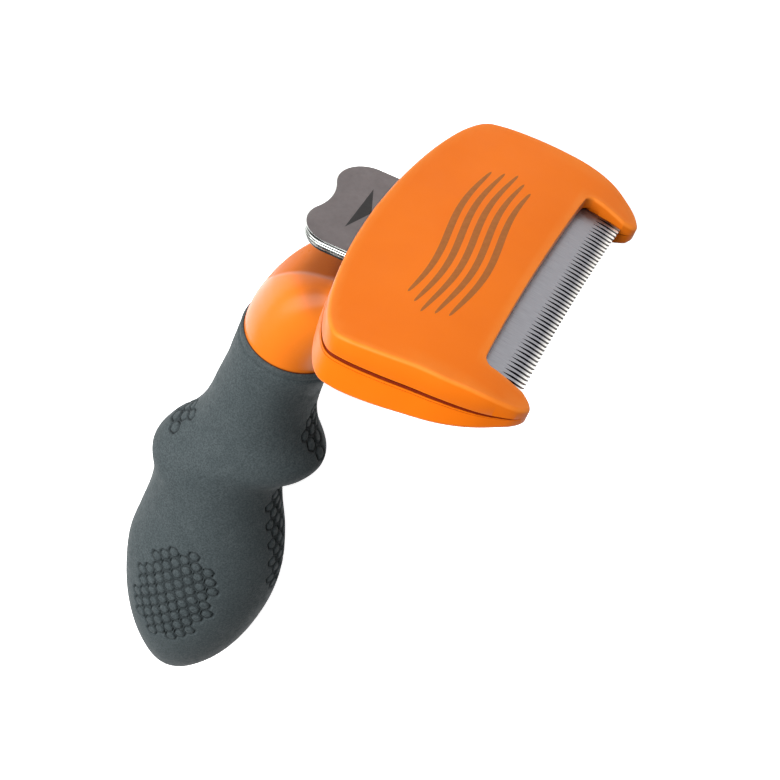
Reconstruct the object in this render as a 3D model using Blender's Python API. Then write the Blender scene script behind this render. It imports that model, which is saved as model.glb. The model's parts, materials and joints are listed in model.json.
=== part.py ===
"""Deshedding tool for dogs: comb head with skin guards, push-button hair ejector, soft grip.

Head frame (millimetres, helper `mm` turns them into metres):
  X  along the comb edge, mirror plane at x = 0
  Y  from the rear of the head towards the teeth
  Z  out of the upper face of the head, which lies at z = 0; the handle runs along -Z
The slide frame is the head frame turned by SLIDE_TILT about X: the blade, the ejector and
the push button lie and move along its Y axis.  The whole tool lies on its side on a table
at z = 0: the head frame hangs under two empties, one rolled about the world's X and one
tilted about Y, and the outer one is moved so that the tool's box stands over the origin.
"""

import math

import bmesh
import bpy
from mathutils import Vector

# ---------------------------------------------------------------- driving dimensions, mm
HEAD_REAR_Y = -32.2
GUARD_TIP_Y = 21.3
WINDOW_HALF_WIDTH = 34.0
WINDOW_REAR_Y = 6.8
WINDOW_SAG = 0.9            # the window's rear edge bows this much towards the rear
FACE_FILLET = 1.1
UNDER_FILLET = 1.4
WINDOW_FILLET = 0.9
FACE_TOP_Z = 0.65           # the flat middle of the upper face
UNDER_REAR_Z = -17.35       # underside at the neck
GAP = 0.3                   # clearance between neighbouring pieces

SLIDE_TILT = math.radians(6.0)
SLIDE_ORIGIN_Z = -6.3       # where the parting plane crosses y = 0
PARTING_KNEE_Y = 4.0        # in front of this line the shells part on a flatter plane
PARTING_FRONT_SLOPE = 0.04

BLADE_THICKNESS = 2.2
BLADE_GRIND_Y = 7.6         # the upper side is ground down from here to the tips
BLADE_BEVEL_THICKNESS = 1.3
BLADE_TIP_THICKNESS = 0.5
BLADE_UNDER_Z = 0.2         # slide frame, the blade's underside
BLADE_HALF_WIDTH = 33.7
BLADE_REAR_Y = -10.0
BLADE_SCREW_X = 26.0
BLADE_SCREW_Y = -4.0
TOOTH_GAPS = 48
TOOTH_PITCH = 1.402
TOOTH_TIP_Y = 17.7
TOOTH_ROOT_Y = 12.1
TOOTH_BEVEL_Y = 14.6
TOOTH_GAP_WIDTH = 0.66
TIP_SAG = 0.7               # the line of tips bows this much towards the rear

BUTTON_LOBE_RADIUS = 7.6
BUTTON_LOBE_X = 8.4
BUTTON_LOBE_Y = -36.9
BUTTON_NOTCH_RADIUS = 11.5
BUTTON_FRONT_Y = -23.0
BUTTON_LAYER = 0.95
BUTTON_LAYER_GAP = 0.2
BUTTON_MIDDLE_Z = 0.8

EJECTOR_TOP_Z = -0.4
EJECTOR_THICKNESS = 2.0
EJECTOR_FRONT_Y = 10.0
EJECTOR_REAR_Y = 4.2

INNER_HALF_WIDTH = 30.0     # the hollow behind the blade, in both shells
INNER_REAR_Y = -26.0
SLOT_HALF_WIDTH = 34.2      # the hollow around blade, clamp and ejector bar
SLOT_FRONT_Y = 12.0
FRONT_HOLLOW_TOP_Z = 3.0
CLAMP_HOLLOW_TOP_Z = 4.3
REAR_HOLLOW_FLOOR_Z = -5.6
EJECTOR_HOLLOW_FLOOR_Z = -2.75

SPRING_X = 20.0
SPRING_Z = -3.2
SPRING_REAR_Y = -21.4
SPRING_FRONT_Y = -8.4
SPRING_RADIUS = 1.75
SPRING_WIRE = 0.5
SPRING_TURNS = 6

HANDLE_Y = -40.0            # the grip's axis
NECK_END_Z = -52.3
TENON_HALF_WIDTH = 11.0
TENON_REAR_Y = -22.5
TENON_FRONT_Y = -15.5
TENON_TOP_Z = -13.2
SPIGOT_RADIUS = 7.5
SPIGOT_END_Z = -78.0
NECK_SCREW_X = 7.0
NECK_SCREW_Y = -19.0
CORE_PIN_Z = -70.0
PIN_RADIUS = 1.5
CORE_RADIUS = 9.4
CORE_TOP_Z = -55.0
CORE_END_Z = -163.0
LYING_TILT = math.radians(77.5)  # the tool rests on the head's side and on the grip's bulb
LYING_ROLL = math.radians(2.2)


def mm(value):
    """Millimetres to metres."""
    return value * 0.001


# ---------------------------------------------------------------- materials
def principled(name, colour, roughness, metallic=0.0):
    """A Principled material with one plain colour."""
    material = bpy.data.materials.new(name)
    material.use_nodes = True
    shader = material.node_tree.nodes["Principled BSDF"]
    shader.inputs["Base Color"].default_value = (*colour, 1.0)
    shader.inputs["Roughness"].default_value = roughness
    shader.inputs["Metallic"].default_value = metallic
    material.diffuse_color = (*colour, 1.0)
    return material


# ---------------------------------------------------------------- small geometry helpers
def catmull_rom(points, steps):
    """A smooth open curve through points, with `steps` pieces between each two."""
    padded = [points[0], *points, points[-1]]
    curve = []
    for i in range(1, len(padded) - 2):
        p0, p1, p2, p3 = (Vector(p) for p in padded[i - 1:i + 3])
        for k in range(steps):
            t = k / steps
            curve.append(0.5 * (2 * p1 + (p2 - p0) * t + (2 * p0 - 5 * p1 + 4 * p2 - p3) * t * t
                                + (3 * p1 - p0 - 3 * p2 + p3) * t ** 3))
    curve.append(Vector(points[-1]))
    return curve


def arc_points(centre, radius, start, end, count):
    """Points on a circle in the plane, angles in degrees."""
    points = []
    for k in range(count):
        angle = math.radians(start + (end - start) * k / (count - 1))
        points.append(Vector((centre[0] + radius * math.cos(angle), centre[1] + radius * math.sin(angle))))
    return points


def inset(outline, distances):
    """Move each point of a counter-clockwise outline inwards by its own distance."""
    moved = []
    count = len(outline)
    for i, point in enumerate(outline):
        before = (point - outline[i - 1]).normalized()
        after = (outline[(i + 1) % count] - point).normalized()
        normal_before = Vector((-before.y, before.x))
        normal_after = Vector((-after.y, after.x))
        normal = (normal_before + normal_after).normalized()
        stretch = 1.0 / max(normal.dot(normal_before), 0.6)
        moved.append(point + normal * distances[i] * stretch)
    return moved


def to_object(name, build, parent, material, smooth_angle=35.0):
    """A linked object from a bmesh in millimetres, with its normals pointing out."""
    bmesh.ops.recalc_face_normals(build, faces=build.faces)
    bmesh.ops.scale(build, vec=(0.001, 0.001, 0.001), verts=build.verts)
    mesh = bpy.data.meshes.new(name)
    build.to_mesh(mesh)
    build.free()
    mesh.shade_smooth()
    mesh.set_sharp_from_angle(angle=math.radians(smooth_angle))
    obj = bpy.data.objects.new(name, mesh)
    bpy.context.collection.objects.link(obj)
    obj.parent = parent
    if material is not None:
        mesh.materials.append(material)
    return obj


def loft(rings):
    """A closed bmesh skin over rings of equal length, with flat caps."""
    build = bmesh.new()
    rows = [[build.verts.new(p) for p in ring] for ring in rings]
    for lower, upper in zip(rows, rows[1:]):
        count = len(lower)
        for i in range(count):
            j = (i + 1) % count
            build.faces.new((lower[i], lower[j], upper[j], upper[i]))
    build.faces.new(tuple(reversed(rows[0])))
    build.faces.new(tuple(rows[-1]))
    return build


def prism(outline, low, high):
    """A bmesh of a plane outline pulled from z = low to z = high."""
    return loft([[(p[0], p[1], low) for p in outline], [(p[0], p[1], high) for p in outline]])


def box(low, high):
    """A bmesh box between two corners."""
    corners = ((low[0], low[1]), (high[0], low[1]), (high[0], high[1]), (low[0], high[1]))
    return prism(corners, low[2], high[2])


def turned(profile, start, direction, sides=16):
    """A turned bmesh: profile is (radius, distance along direction from start)."""
    axis = Vector(direction).normalized()
    turn = axis.to_track_quat("Z", "Y").to_matrix()
    rings = []
    for radius, distance in profile:
        ring = []
        for k in range(sides):
            angle = 2.0 * math.pi * k / sides
            spoke = turn @ Vector((radius * math.cos(angle), radius * math.sin(angle), 0.0))
            ring.append(Vector(start) + axis * distance + spoke)
        rings.append(ring)
    return loft(rings)


def cut(obj, name, build, parent, operation="DIFFERENCE"):
    """Apply a Boolean modifier to obj with a hidden cutter made from a bmesh."""
    cutter = to_object(name, build, parent, None)
    cutter.hide_render = True
    cutter.display_type = "WIRE"
    modifier = obj.modifiers.new(name, "BOOLEAN")
    modifier.operation = operation
    modifier.solver = "EXACT"
    modifier.object = cutter


def empty(name, parent=None, location=(0.0, 0.0, 0.0), rotation=(0.0, 0.0, 0.0)):
    """A frame that carries other objects."""
    frame = bpy.data.objects.new(name, None)
    bpy.context.collection.objects.link(frame)
    frame.parent = parent
    frame.location = location
    frame.rotation_euler = rotation
    return frame


# ---------------------------------------------------------------- head outline and heights
FACE_PROFILE = ((HEAD_REAR_Y, -4.6), (-22.0, -2.8), (-12.0, -0.9), (-2.0, FACE_TOP_Z), (8.0, FACE_TOP_Z),
                (12.0, 0.0), (16.0, -1.1), (19.0, -2.1), (GUARD_TIP_Y, -3.0))
UNDER_PROFILE = ((HEAD_REAR_Y, UNDER_REAR_Z), (-17.0, UNDER_REAR_Z), (-9.0, -16.2), (0.0, -14.3), (8.0, -12.2),
                 (14.0, -10.1), (18.0, -8.7), (GUARD_TIP_Y, -8.0))


def along(profile, y):
    """Height of a broken line at y, carried on straight past its ends."""
    for (y0, z0), (y1, z1) in zip(profile, profile[1:]):
        if y <= y1:
            break
    return z0 + (z1 - z0) * (y - y0) / (y1 - y0)


def face_z(y):
    """Height of the head's upper face, arched from the rear to the guard tips."""
    return along(FACE_PROFILE, y)


def under_z(y):
    """Height of the head's underside: level at the neck, rising towards the guard tips."""
    return along(UNDER_PROFILE, y)


def parting_z(y):
    """Height of the surface where the two shells meet."""
    slope = math.tan(SLIDE_TILT)
    past = max(0.0, y - PARTING_KNEE_Y)
    return SLIDE_ORIGIN_Z + slope * y - (slope - PARTING_FRONT_SLOPE) * past


def head_outline():
    """Outline of the head seen on its face, counter-clockwise, with each point's edge radius."""
    side = [(0.0, HEAD_REAR_Y), (12.0, -31.7), (24.0, -30.3), (33.5, -28.3), (40.4, -25.9), (44.8, -22.8),
            (46.0, -18.6), (46.0, -11.0), (45.4, -3.0), (44.9, 4.0), (43.4, 11.3), (41.3, 16.5),
            (39.4, 19.6), (37.0, GUARD_TIP_Y), (35.2, 20.5), (WINDOW_HALF_WIDTH, 18.2)]
    outer = catmull_rom(side, 3)
    inner_corner = arc_points((WINDOW_HALF_WIDTH - 2.0, WINDOW_REAR_Y + WINDOW_SAG + 2.0), 2.0, 0.0, -80.0, 4)
    rear_edge = []
    for k in range(1, 4):
        x = 31.0 * (1.0 - k / 4.0)
        rear_edge.append(Vector((x, WINDOW_REAR_Y + WINDOW_SAG * (x / WINDOW_HALF_WIDTH) ** 2)))
    half = [*outer, *inner_corner, *rear_edge]
    middle = Vector((0.0, WINDOW_REAR_Y))
    mirrored = [Vector((-p.x, p.y)) for p in reversed(half[1:])]
    outline = [*half, middle, *mirrored]
    weights = []
    for p in outline:
        inside = abs(p.x) < 36.5 and p.y > WINDOW_REAR_Y - 1.0
        weights.append(1.0 if inside else 0.0)
    return outline, weights


def split_across(build, places):
    """Cut every face along lines of constant y, so that its heights can be moved later."""
    for y in places:
        everything = [*build.verts, *build.edges, *build.faces]
        bmesh.ops.bisect_plane(build, geom=everything, plane_co=(0, y, 0), plane_no=(0, 1, 0))


def shell_body(fixed, profile, flat_z, radius):
    """The solid from the parting surface to an outer face with a rounded rim.

    It is built between z = 0 and flat_z, split across at every bend of the two surfaces,
    and then its heights are moved on to them.
    """
    outline, inner = head_outline()
    radii = [WINDOW_FILLET * w + radius * (1.0 - w) for w in inner]
    outward = math.copysign(1.0, flat_z)
    steps = 4
    rings = [[(p.x, p.y, 0.0) for p in outline]]
    for k in range(steps + 1):
        angle = 0.5 * math.pi * k / steps
        moved = inset(outline, [r * (1.0 - math.cos(angle)) for r in radii])
        rings.append([(p.x, p.y, flat_z - outward * r * (1.0 - math.sin(angle))) for p, r in zip(moved, radii)])
    build = loft(rings)
    split_across(build, [y for y, _ in profile[1:-1]] + [PARTING_KNEE_Y])
    for vert in build.verts:
        base = fixed(vert.co.y)
        share = vert.co.z / flat_z
        vert.co.z = base + share * (along(profile, vert.co.y) - base)
    return build


# ---------------------------------------------------------------- head shells
SCREW_PLACES = ((39.2, -16.5), (-39.2, -16.5), (39.8, 2.0), (-39.8, 2.0))


def screw_seat_z(y):
    """Slide-frame height of the counterbore's floor under a shell screw."""
    return under_z(y) - parting_z(y) + 2.0


def cut_button_slot(obj, slide):
    """The slot through the rear wall that the push button slides in."""
    half = 1.5 * BUTTON_LAYER + BUTTON_LAYER_GAP + GAP
    slot = box((-16.9, -40.0, BUTTON_MIDDLE_Z - half), (16.9, -22.0, BUTTON_MIDDLE_Z + half))
    cut(obj, obj.name + "_button_slot", slot, slide)


def front_shell(head, slide, material):
    """Upper shell of the head, with the plain face and the upper half of both guards."""
    body = shell_body(lambda y: parting_z(y) + 0.5 * GAP, FACE_PROFILE, 7.0, FACE_FILLET)
    shell = to_object("front_shell", body, head, material)
    cut_button_slot(shell, slide)
    inner = box((-INNER_HALF_WIDTH, INNER_REAR_Y, -1.0), (INNER_HALF_WIDTH, -8.0, FRONT_HOLLOW_TOP_Z))
    cut(shell, "front_rear_pocket", inner, slide)
    clamp = box((-SLOT_HALF_WIDTH, -11.0, -1.0), (SLOT_HALF_WIDTH, 4.2, CLAMP_HOLLOW_TOP_Z))
    cut(shell, "front_blade_pocket", clamp, slide)
    slot_top = BLADE_UNDER_Z + BLADE_THICKNESS + GAP
    slot = box((-SLOT_HALF_WIDTH, 4.0, -1.2), (SLOT_HALF_WIDTH, SLOT_FRONT_Y, slot_top))
    cut(shell, "front_blade_slot", slot, slide)
    for number, (x, y) in enumerate(SCREW_PLACES, 1):
        hole = turned([(1.15, -1.0), (1.15, 3.6)], (x, y, 0.0), (0, 0, 1), 12)
        cut(shell, f"front_screw_hole_{number}", hole, slide)
    return shell


def rear_shell(head, slide, material):
    """Lower shell of the head, on the handle side."""
    body = shell_body(lambda y: parting_z(y) - 0.5 * GAP, UNDER_PROFILE, -9.0, UNDER_FILLET)
    shell = to_object("rear_shell", body, head, material)
    cut_button_slot(shell, slide)
    inner = box((-INNER_HALF_WIDTH, INNER_REAR_Y, REAR_HOLLOW_FLOOR_Z), (INNER_HALF_WIDTH, -6.9, 1.0))
    cut(shell, "rear_pocket", inner, slide)
    ejector = box((-SLOT_HALF_WIDTH, -7.2, EJECTOR_HOLLOW_FLOOR_Z), (SLOT_HALF_WIDTH, SLOT_FRONT_Y, 1.0))
    cut(shell, "rear_ejector_pocket", ejector, slide)
    tenon = box((-TENON_HALF_WIDTH - GAP, TENON_REAR_Y - GAP, -24.0),
                (TENON_HALF_WIDTH + GAP, TENON_FRONT_Y + GAP, -10.0))
    cut(shell, "rear_tenon_opening", tenon, head)
    for number, (x, y) in enumerate(SCREW_PLACES, 1):
        seat = screw_seat_z(y)
        hole = turned([(2.9, -9.0), (2.9, seat), (1.55, seat), (1.55, 2.0)], (x, y, 0.0), (0, 0, 1), 14)
        cut(shell, f"rear_screw_hole_{number}", hole, slide)
    return shell


def shell_screws(slide, material):
    """Four pan-head screws that close the head from the handle side."""
    for number, (x, y) in enumerate(SCREW_PLACES, 1):
        seat = screw_seat_z(y) - 0.05
        profile = [(1.7, seat - 1.5), (2.5, seat - 1.1), (2.5, seat), (1.0, seat), (1.0, 2.9)]
        screw = to_object(f"shell_screw_{number}", turned(profile, (x, y, 0.0), (0, 0, 1), 14), slide, material)
        recess = box((x - 1.1, y - 0.3, seat - 2.0), (x + 1.1, y + 0.3, seat - 0.9))
        cut(screw, f"screw_recess_{number}", recess, slide)


# ---------------------------------------------------------------- blade and ejector
def tip_y(x):
    """The line of tooth tips."""
    return TOOTH_TIP_Y + TIP_SAG * ((x / BLADE_HALF_WIDTH) ** 2 - 0.35)


def blade_top(y):
    """Slide-frame height of the blade's upper side: flat, then ground down in two steps."""
    tip = TOOTH_TIP_Y + TIP_SAG
    profile = ((0.0, BLADE_THICKNESS), (BLADE_GRIND_Y, BLADE_THICKNESS), (TOOTH_BEVEL_Y, BLADE_BEVEL_THICKNESS),
               (tip, BLADE_TIP_THICKNESS))
    return BLADE_UNDER_Z + along(profile, y)


def blade(slide, material):
    """The steel comb: a plate whose front edge is cut into ground teeth."""
    outline = [Vector((-BLADE_HALF_WIDTH, BLADE_REAR_Y)), Vector((BLADE_HALF_WIDTH, BLADE_REAR_Y)),
               Vector((BLADE_HALF_WIDTH, TOOTH_BEVEL_Y)), Vector((BLADE_HALF_WIDTH, tip_y(BLADE_HALF_WIDTH)))]
    half_gap = 0.5 * TOOTH_GAP_WIDTH
    for k in range(TOOTH_GAPS):
        x = (0.5 * (TOOTH_GAPS - 1) - k) * TOOTH_PITCH
        outline.append(Vector((x + half_gap, tip_y(x))))
        outline.append(Vector((x + half_gap, TOOTH_BEVEL_Y)))
        outline.append(Vector((x, TOOTH_ROOT_Y)))
        outline.append(Vector((x - half_gap, TOOTH_BEVEL_Y)))
        outline.append(Vector((x - half_gap, tip_y(x))))
    outline.append(Vector((-BLADE_HALF_WIDTH, tip_y(BLADE_HALF_WIDTH))))
    outline.append(Vector((-BLADE_HALF_WIDTH, TOOTH_BEVEL_Y)))
    plate_body = prism(outline, BLADE_UNDER_Z, BLADE_UNDER_Z + BLADE_THICKNESS)
    split_across(plate_body, (BLADE_GRIND_Y, TOOTH_BEVEL_Y))
    for vert in plate_body.verts:
        if vert.co.z > BLADE_UNDER_Z + 0.5 * BLADE_THICKNESS:
            vert.co.z = blade_top(vert.co.y)
    plate = to_object("blade", plate_body, slide, material)
    for number, x in enumerate((BLADE_SCREW_X, -BLADE_SCREW_X), 1):
        hole = turned([(1.5, -2.0), (1.5, 4.0)], (x, BLADE_SCREW_Y, 0.0), (0, 0, 1), 12)
        cut(plate, f"blade_hole_{number}", hole, slide)


def blade_clamp(slide, material):
    """A flat bar that presses the blade home; its two screws run through it."""
    low = BLADE_UNDER_Z + BLADE_THICKNESS + 0.2
    bar = to_object("blade_clamp", box((-32.5, -9.0, low), (32.5, 3.6, low + 1.4)), slide, material)
    for number, x in enumerate((BLADE_SCREW_X, -BLADE_SCREW_X), 1):
        hole = turned([(1.3, 0.0), (1.3, 5.0)], (x, BLADE_SCREW_Y, 0.0), (0, 0, 1), 12)
        cut(bar, f"clamp_hole_{number}", hole, slide)


def blade_screws(slide, material):
    """Two low screws from the handle side, through the blade into the clamp bar."""
    profile = [(1.9, -1.0), (2.4, -0.7), (2.4, 0.0), (1.1, 0.0), (1.1, 3.8)]
    for side, x in (("left", -BLADE_SCREW_X), ("right", BLADE_SCREW_X)):
        screw = turned(profile, (x, BLADE_SCREW_Y, 0.0), (0, 0, 1), 12)
        to_object(f"blade_screw_{side}", screw, slide, material)


def ejector_bar(slide, material):
    """The bar that pushes hair off the teeth, just under the blade."""
    low = EJECTOR_TOP_Z - EJECTOR_THICKNESS
    nose = 0.9
    side = [(EJECTOR_REAR_Y, low), (EJECTOR_FRONT_Y - nose, low), (EJECTOR_FRONT_Y, EJECTOR_TOP_Z - nose),
            (EJECTOR_FRONT_Y, EJECTOR_TOP_Z), (EJECTOR_REAR_Y, EJECTOR_TOP_Z)]
    rings = [[(x, y, z) for y, z in side] for x in (-33.2, 33.2)]
    to_object("ejector_bar", loft(rings), slide, material)


def ejector_carriage(slide, material):
    """The plate between push button and ejector bar, with a spring tab on each side."""
    high = EJECTOR_TOP_Z
    low = high - EJECTOR_THICKNESS
    front = EJECTOR_REAR_Y - GAP
    rear = BUTTON_FRONT_Y + GAP
    wide = 24.0
    shape = [(wide, rear), (wide, rear + 1.0), (15.6, rear + 1.0), (13.5, -4.0), (20.0, front)]
    outline = [Vector(p) for p in shape] + [Vector((-x, y)) for x, y in reversed(shape)]
    plate = to_object("ejector_carriage", prism(outline, low, high), slide, material)
    tab_low = SPRING_Z - 2.2
    for number, x in enumerate((SPRING_X, -SPRING_X), 1):
        tab = box((x - 3.0, rear, tab_low), (x + 3.0, rear + 1.0, high - 0.5))
        cut(plate, f"carriage_tab_{number}", tab, slide, "UNION")
        hole = turned([(1.35, -2.0), (1.35, 3.0)], (x, rear, SPRING_Z), (0, 1, 0), 12)
        cut(plate, f"carriage_tab_hole_{number}", hole, slide)
    cut(plate, "carriage_hook", box((-10.0, rear - 3.0, low), (10.0, rear + 1.0, low + 1.25)), slide, "UNION")


# ---------------------------------------------------------------- push button
def button_outline(margin=0.0):
    """Two round lobes joined by a shallow hollow, the front edge straight."""
    lobe = BUTTON_LOBE_RADIUS - margin
    hollow = BUTTON_NOTCH_RADIUS + margin
    rise = math.sqrt((lobe + hollow) ** 2 - BUTTON_LOBE_X ** 2)
    turn = math.degrees(math.atan2(rise, BUTTON_LOBE_X))
    front = BUTTON_FRONT_Y
    side = BUTTON_LOBE_X + lobe
    points = [Vector((side, front)), Vector((0.0, front)), Vector((-side, front))]
    left = arc_points((-BUTTON_LOBE_X, BUTTON_LOBE_Y), lobe, 180.0, 360.0 - turn, 11)
    notch = arc_points((0.0, BUTTON_LOBE_Y - rise), hollow, 180.0 - turn, turn, 6)
    right = arc_points((BUTTON_LOBE_X, BUTTON_LOBE_Y), lobe, 180.0 + turn, 360.0, 11)
    return [*points, *left, *notch[1:-1], *right]


def button_layers(slide, base_material, trim_material, cap_material):
    """Base, bright trim plate and cap, stacked with thin lines between them."""
    step = BUTTON_LAYER + BUTTON_LAYER_GAP
    low = BUTTON_MIDDLE_Z - 1.5 * BUTTON_LAYER - BUTTON_LAYER_GAP
    layers = (("button_base", 0.35, base_material), ("button_trim", 0.0, trim_material),
              ("button_cap", 0.2, cap_material))
    for number, (name, margin, material) in enumerate(layers):
        bottom = low + number * step
        outline = button_outline(margin)
        if name != "button_cap":
            to_object(name, prism(outline, bottom, bottom + BUTTON_LAYER), slide, material)
            continue
        rim = inset(outline, [-0.35] * len(outline))
        rings = [[(p.x, p.y, bottom) for p in outline],
                 [(p.x, p.y, bottom + BUTTON_LAYER - 0.35) for p in outline],
                 [(p.x, p.y, bottom + BUTTON_LAYER) for p in rim]]
        to_object(name, loft(rings), slide, material)


# ---------------------------------------------------------------- return springs
def return_spring(name, x, slide, material):
    """A compression spring on its guide rod, with ends turned flat."""
    steps = 10
    sides = 5
    length = SPRING_FRONT_Y - SPRING_REAR_Y
    total = SPRING_TURNS * steps
    rings = []
    for k in range(total + 1):
        turns = k / steps
        squeeze = min(1.0, max(0.0, (turns - 0.75) / (SPRING_TURNS - 1.5)))
        share = 0.06 * turns / SPRING_TURNS + 0.94 * squeeze
        place = SPRING_REAR_Y + SPRING_WIRE + (length - 2 * SPRING_WIRE) * share
        angle = 2.0 * math.pi * turns
        ring = []
        for side in range(sides):
            around = 2.0 * math.pi * side / sides
            radius = SPRING_RADIUS + 0.5 * SPRING_WIRE * math.cos(around)
            ring.append((x + radius * math.cos(angle), place + 0.5 * SPRING_WIRE * math.sin(around),
                         SPRING_Z + radius * math.sin(angle)))
        rings.append(ring)
    to_object(name, loft(rings), slide, material)


def springs_and_rods(slide, spring_material, rod_material):
    """One return spring and one guide rod on each side of the carriage."""
    for side, x in (("left", -SPRING_X), ("right", SPRING_X)):
        return_spring(f"return_spring_{side}", x, slide, spring_material)
        rod = turned([(0.7, 0.0), (1.0, 0.4), (1.0, 17.9)], (x, -25.6, SPRING_Z), (0, 1, 0), 10)
        to_object(f"spring_rod_{side}", rod, slide, rod_material)


# ---------------------------------------------------------------- neck, core and grip
def oval(half_x, rear_y, front_y, z, sides, power=2.0):
    """A horizontal rounded ring between two y limits."""
    centre = 0.5 * (rear_y + front_y)
    half_y = 0.5 * (front_y - rear_y)
    ring = []
    for k in range(sides):
        angle = 2.0 * math.pi * k / sides
        c = math.cos(angle)
        s = math.sin(angle)
        ring.append((half_x * math.copysign(abs(c) ** (2.0 / power), c),
                     centre + half_y * math.copysign(abs(s) ** (2.0 / power), s), z))
    return ring


def pin_hole():
    """The cross hole for the pin through spigot and core."""
    radius = PIN_RADIUS + GAP
    return turned([(radius, -12.0), (radius, 12.0)], (0.0, HANDLE_Y, CORE_PIN_Z), (1, 0, 0), 12)


def neck(head, material):
    """The bend from the head's underside down into the grip, with a spigot and a tenon."""
    sides = 32
    rings = []
    spigot = ((SPIGOT_END_Z, SPIGOT_RADIUS - 0.8), (SPIGOT_END_Z + 0.8, SPIGOT_RADIUS),
              (NECK_END_Z, SPIGOT_RADIUS))
    for z, radius in spigot:
        rings.append(oval(radius, HANDLE_Y - radius, HANDLE_Y + radius, z, sides))
    bend_radius = 33.0
    bend_y = -18.2
    top_z = UNDER_REAR_Z - GAP
    for z in (NECK_END_Z, -50.0, -46.0, -42.0, -38.0, -34.0, -30.5, -27.0, -24.0, -21.5, -19.5, top_z):
        rise = (z - NECK_END_Z) / (top_z - NECK_END_Z)
        rear = bend_y - math.sqrt(bend_radius ** 2 - (z + 50.0) ** 2)
        front = -25.7 + 13.0 * rise ** 1.6
        half_x = 14.2 + 3.0 * rise ** 1.2
        rings.append(oval(half_x, rear, front, z, sides, 2.0 + 0.2 * rise))
    for z in (top_z, TENON_TOP_Z):
        rings.append(oval(TENON_HALF_WIDTH, TENON_REAR_Y, TENON_FRONT_Y, z, sides, 5.0))
    body = to_object("neck", loft(rings), head, material)
    cut(body, "neck_pin_hole", pin_hole(), head)
    for number, x in enumerate((NECK_SCREW_X, -NECK_SCREW_X), 1):
        hole = turned([(1.3, -30.0), (1.3, -10.0)], (x, NECK_SCREW_Y, 0.0), (0, 0, 1), 12)
        cut(body, f"neck_screw_hole_{number}", hole, head)


def neck_screws(head, material):
    """Two screws from inside the head down into the neck's tenon."""
    profile = [(1.0, -29.0), (1.0, -12.9), (2.3, -12.9), (2.3, -11.9), (1.7, -11.5)]
    for side, x in (("left", -NECK_SCREW_X), ("right", NECK_SCREW_X)):
        screw = turned(profile, (x, NECK_SCREW_Y, 0.0), (0, 0, 1), 12)
        to_object(f"neck_screw_{side}", screw, head, material)


def handle_core(head, material):
    """The stiff core inside the grip, with a socket for the neck's spigot."""
    depth = CORE_TOP_Z - CORE_END_Z
    socket = CORE_TOP_Z - SPIGOT_END_Z + 1.0
    profile = [(7.0, 0.0), (CORE_RADIUS, 3.0), (CORE_RADIUS, depth)]
    core = to_object("handle_core", turned(profile, (0, HANDLE_Y, CORE_END_Z), (0, 0, 1), 20), head, material)
    bore_radius = SPIGOT_RADIUS + GAP
    bore = turned([(4.0, 5.0), (bore_radius - 2.0, 9.0), (bore_radius - 2.0, depth - socket),
                   (bore_radius, depth - socket), (bore_radius, depth + 2.0)],
                  (0, HANDLE_Y, CORE_END_Z), (0, 0, 1), 20)
    cut(core, "core_socket", bore, head)
    cut(core, "core_pin_hole", pin_hole(), head)


def core_pin(head, material):
    """The cross pin that keeps the neck's spigot in the core."""
    end = PIN_RADIUS - 0.3
    profile = [(end, -8.9), (PIN_RADIUS, -8.6), (PIN_RADIUS, 8.6), (end, 8.9)]
    to_object("core_pin", turned(profile, (0.0, HANDLE_Y, CORE_PIN_Z), (1, 0, 0), 10), head, material)


GRIP_STATIONS = (
    # height, reach to the rear, reach to the front, half width along x
    (-51.0, 11.7, 15.1, 15.0),
    (-54.0, 11.9, 14.9, 14.8),
    (-57.5, 12.0, 13.6, 14.4),
    (-61.0, 12.1, 12.6, 14.0),
    (-65.0, 12.2, 12.3, 13.7),
    (-73.0, 13.0, 12.9, 13.2),
    (-79.5, 13.6, 15.4, 13.1),
    (-85.5, 14.8, 19.7, 13.3),
    (-91.5, 17.2, 18.2, 13.7),
    (-98.0, 21.0, 12.8, 14.1),
    (-105.0, 22.9, 12.9, 14.5),
    (-112.0, 20.6, 14.9, 14.9),
    (-120.0, 20.0, 18.0, 15.4),
    (-130.0, 20.5, 20.5, 15.9),
    (-140.0, 20.9, 21.2, 16.2),
    (-150.0, 19.3, 20.4, 16.0),
    (-160.0, 16.5, 18.5, 15.0),
    (-169.0, 12.5, 15.5, 12.9),
    (-177.0, 7.4, 11.2, 9.4),
    (-182.0, 3.1, 7.1, 5.5),
    (-184.0, 0.6, 3.9, 2.4),
)


def grip(head, material):
    """The soft grip: sleeve, thumb and finger flares and an egg-shaped palm bulb."""
    stations = catmull_rom([Vector((z, rear, front, wide)) for z, rear, front, wide in GRIP_STATIONS], 2)
    sides = 32
    rings = []
    for z, rear, front, wide in reversed(stations):
        rings.append(oval(wide, HANDLE_Y - rear, HANDLE_Y + front, z, sides))
    inner = CORE_RADIUS + GAP
    rings.append(oval(14.55, HANDLE_Y - 11.35, HANDLE_Y + 14.7, GRIP_STATIONS[0][0] + 0.3, sides))
    rings.append(oval(14.5, HANDLE_Y - 11.3, HANDLE_Y + 14.5, NECK_END_Z - GAP, sides))
    rings.append(oval(inner, HANDLE_Y - inner, HANDLE_Y + inner, NECK_END_Z - GAP - 0.4, sides))
    rings.append(oval(inner, HANDLE_Y - inner, HANDLE_Y + inner, CORE_END_Z - GAP, sides))
    to_object("grip", loft(rings), head, material, 60.0)


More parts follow.
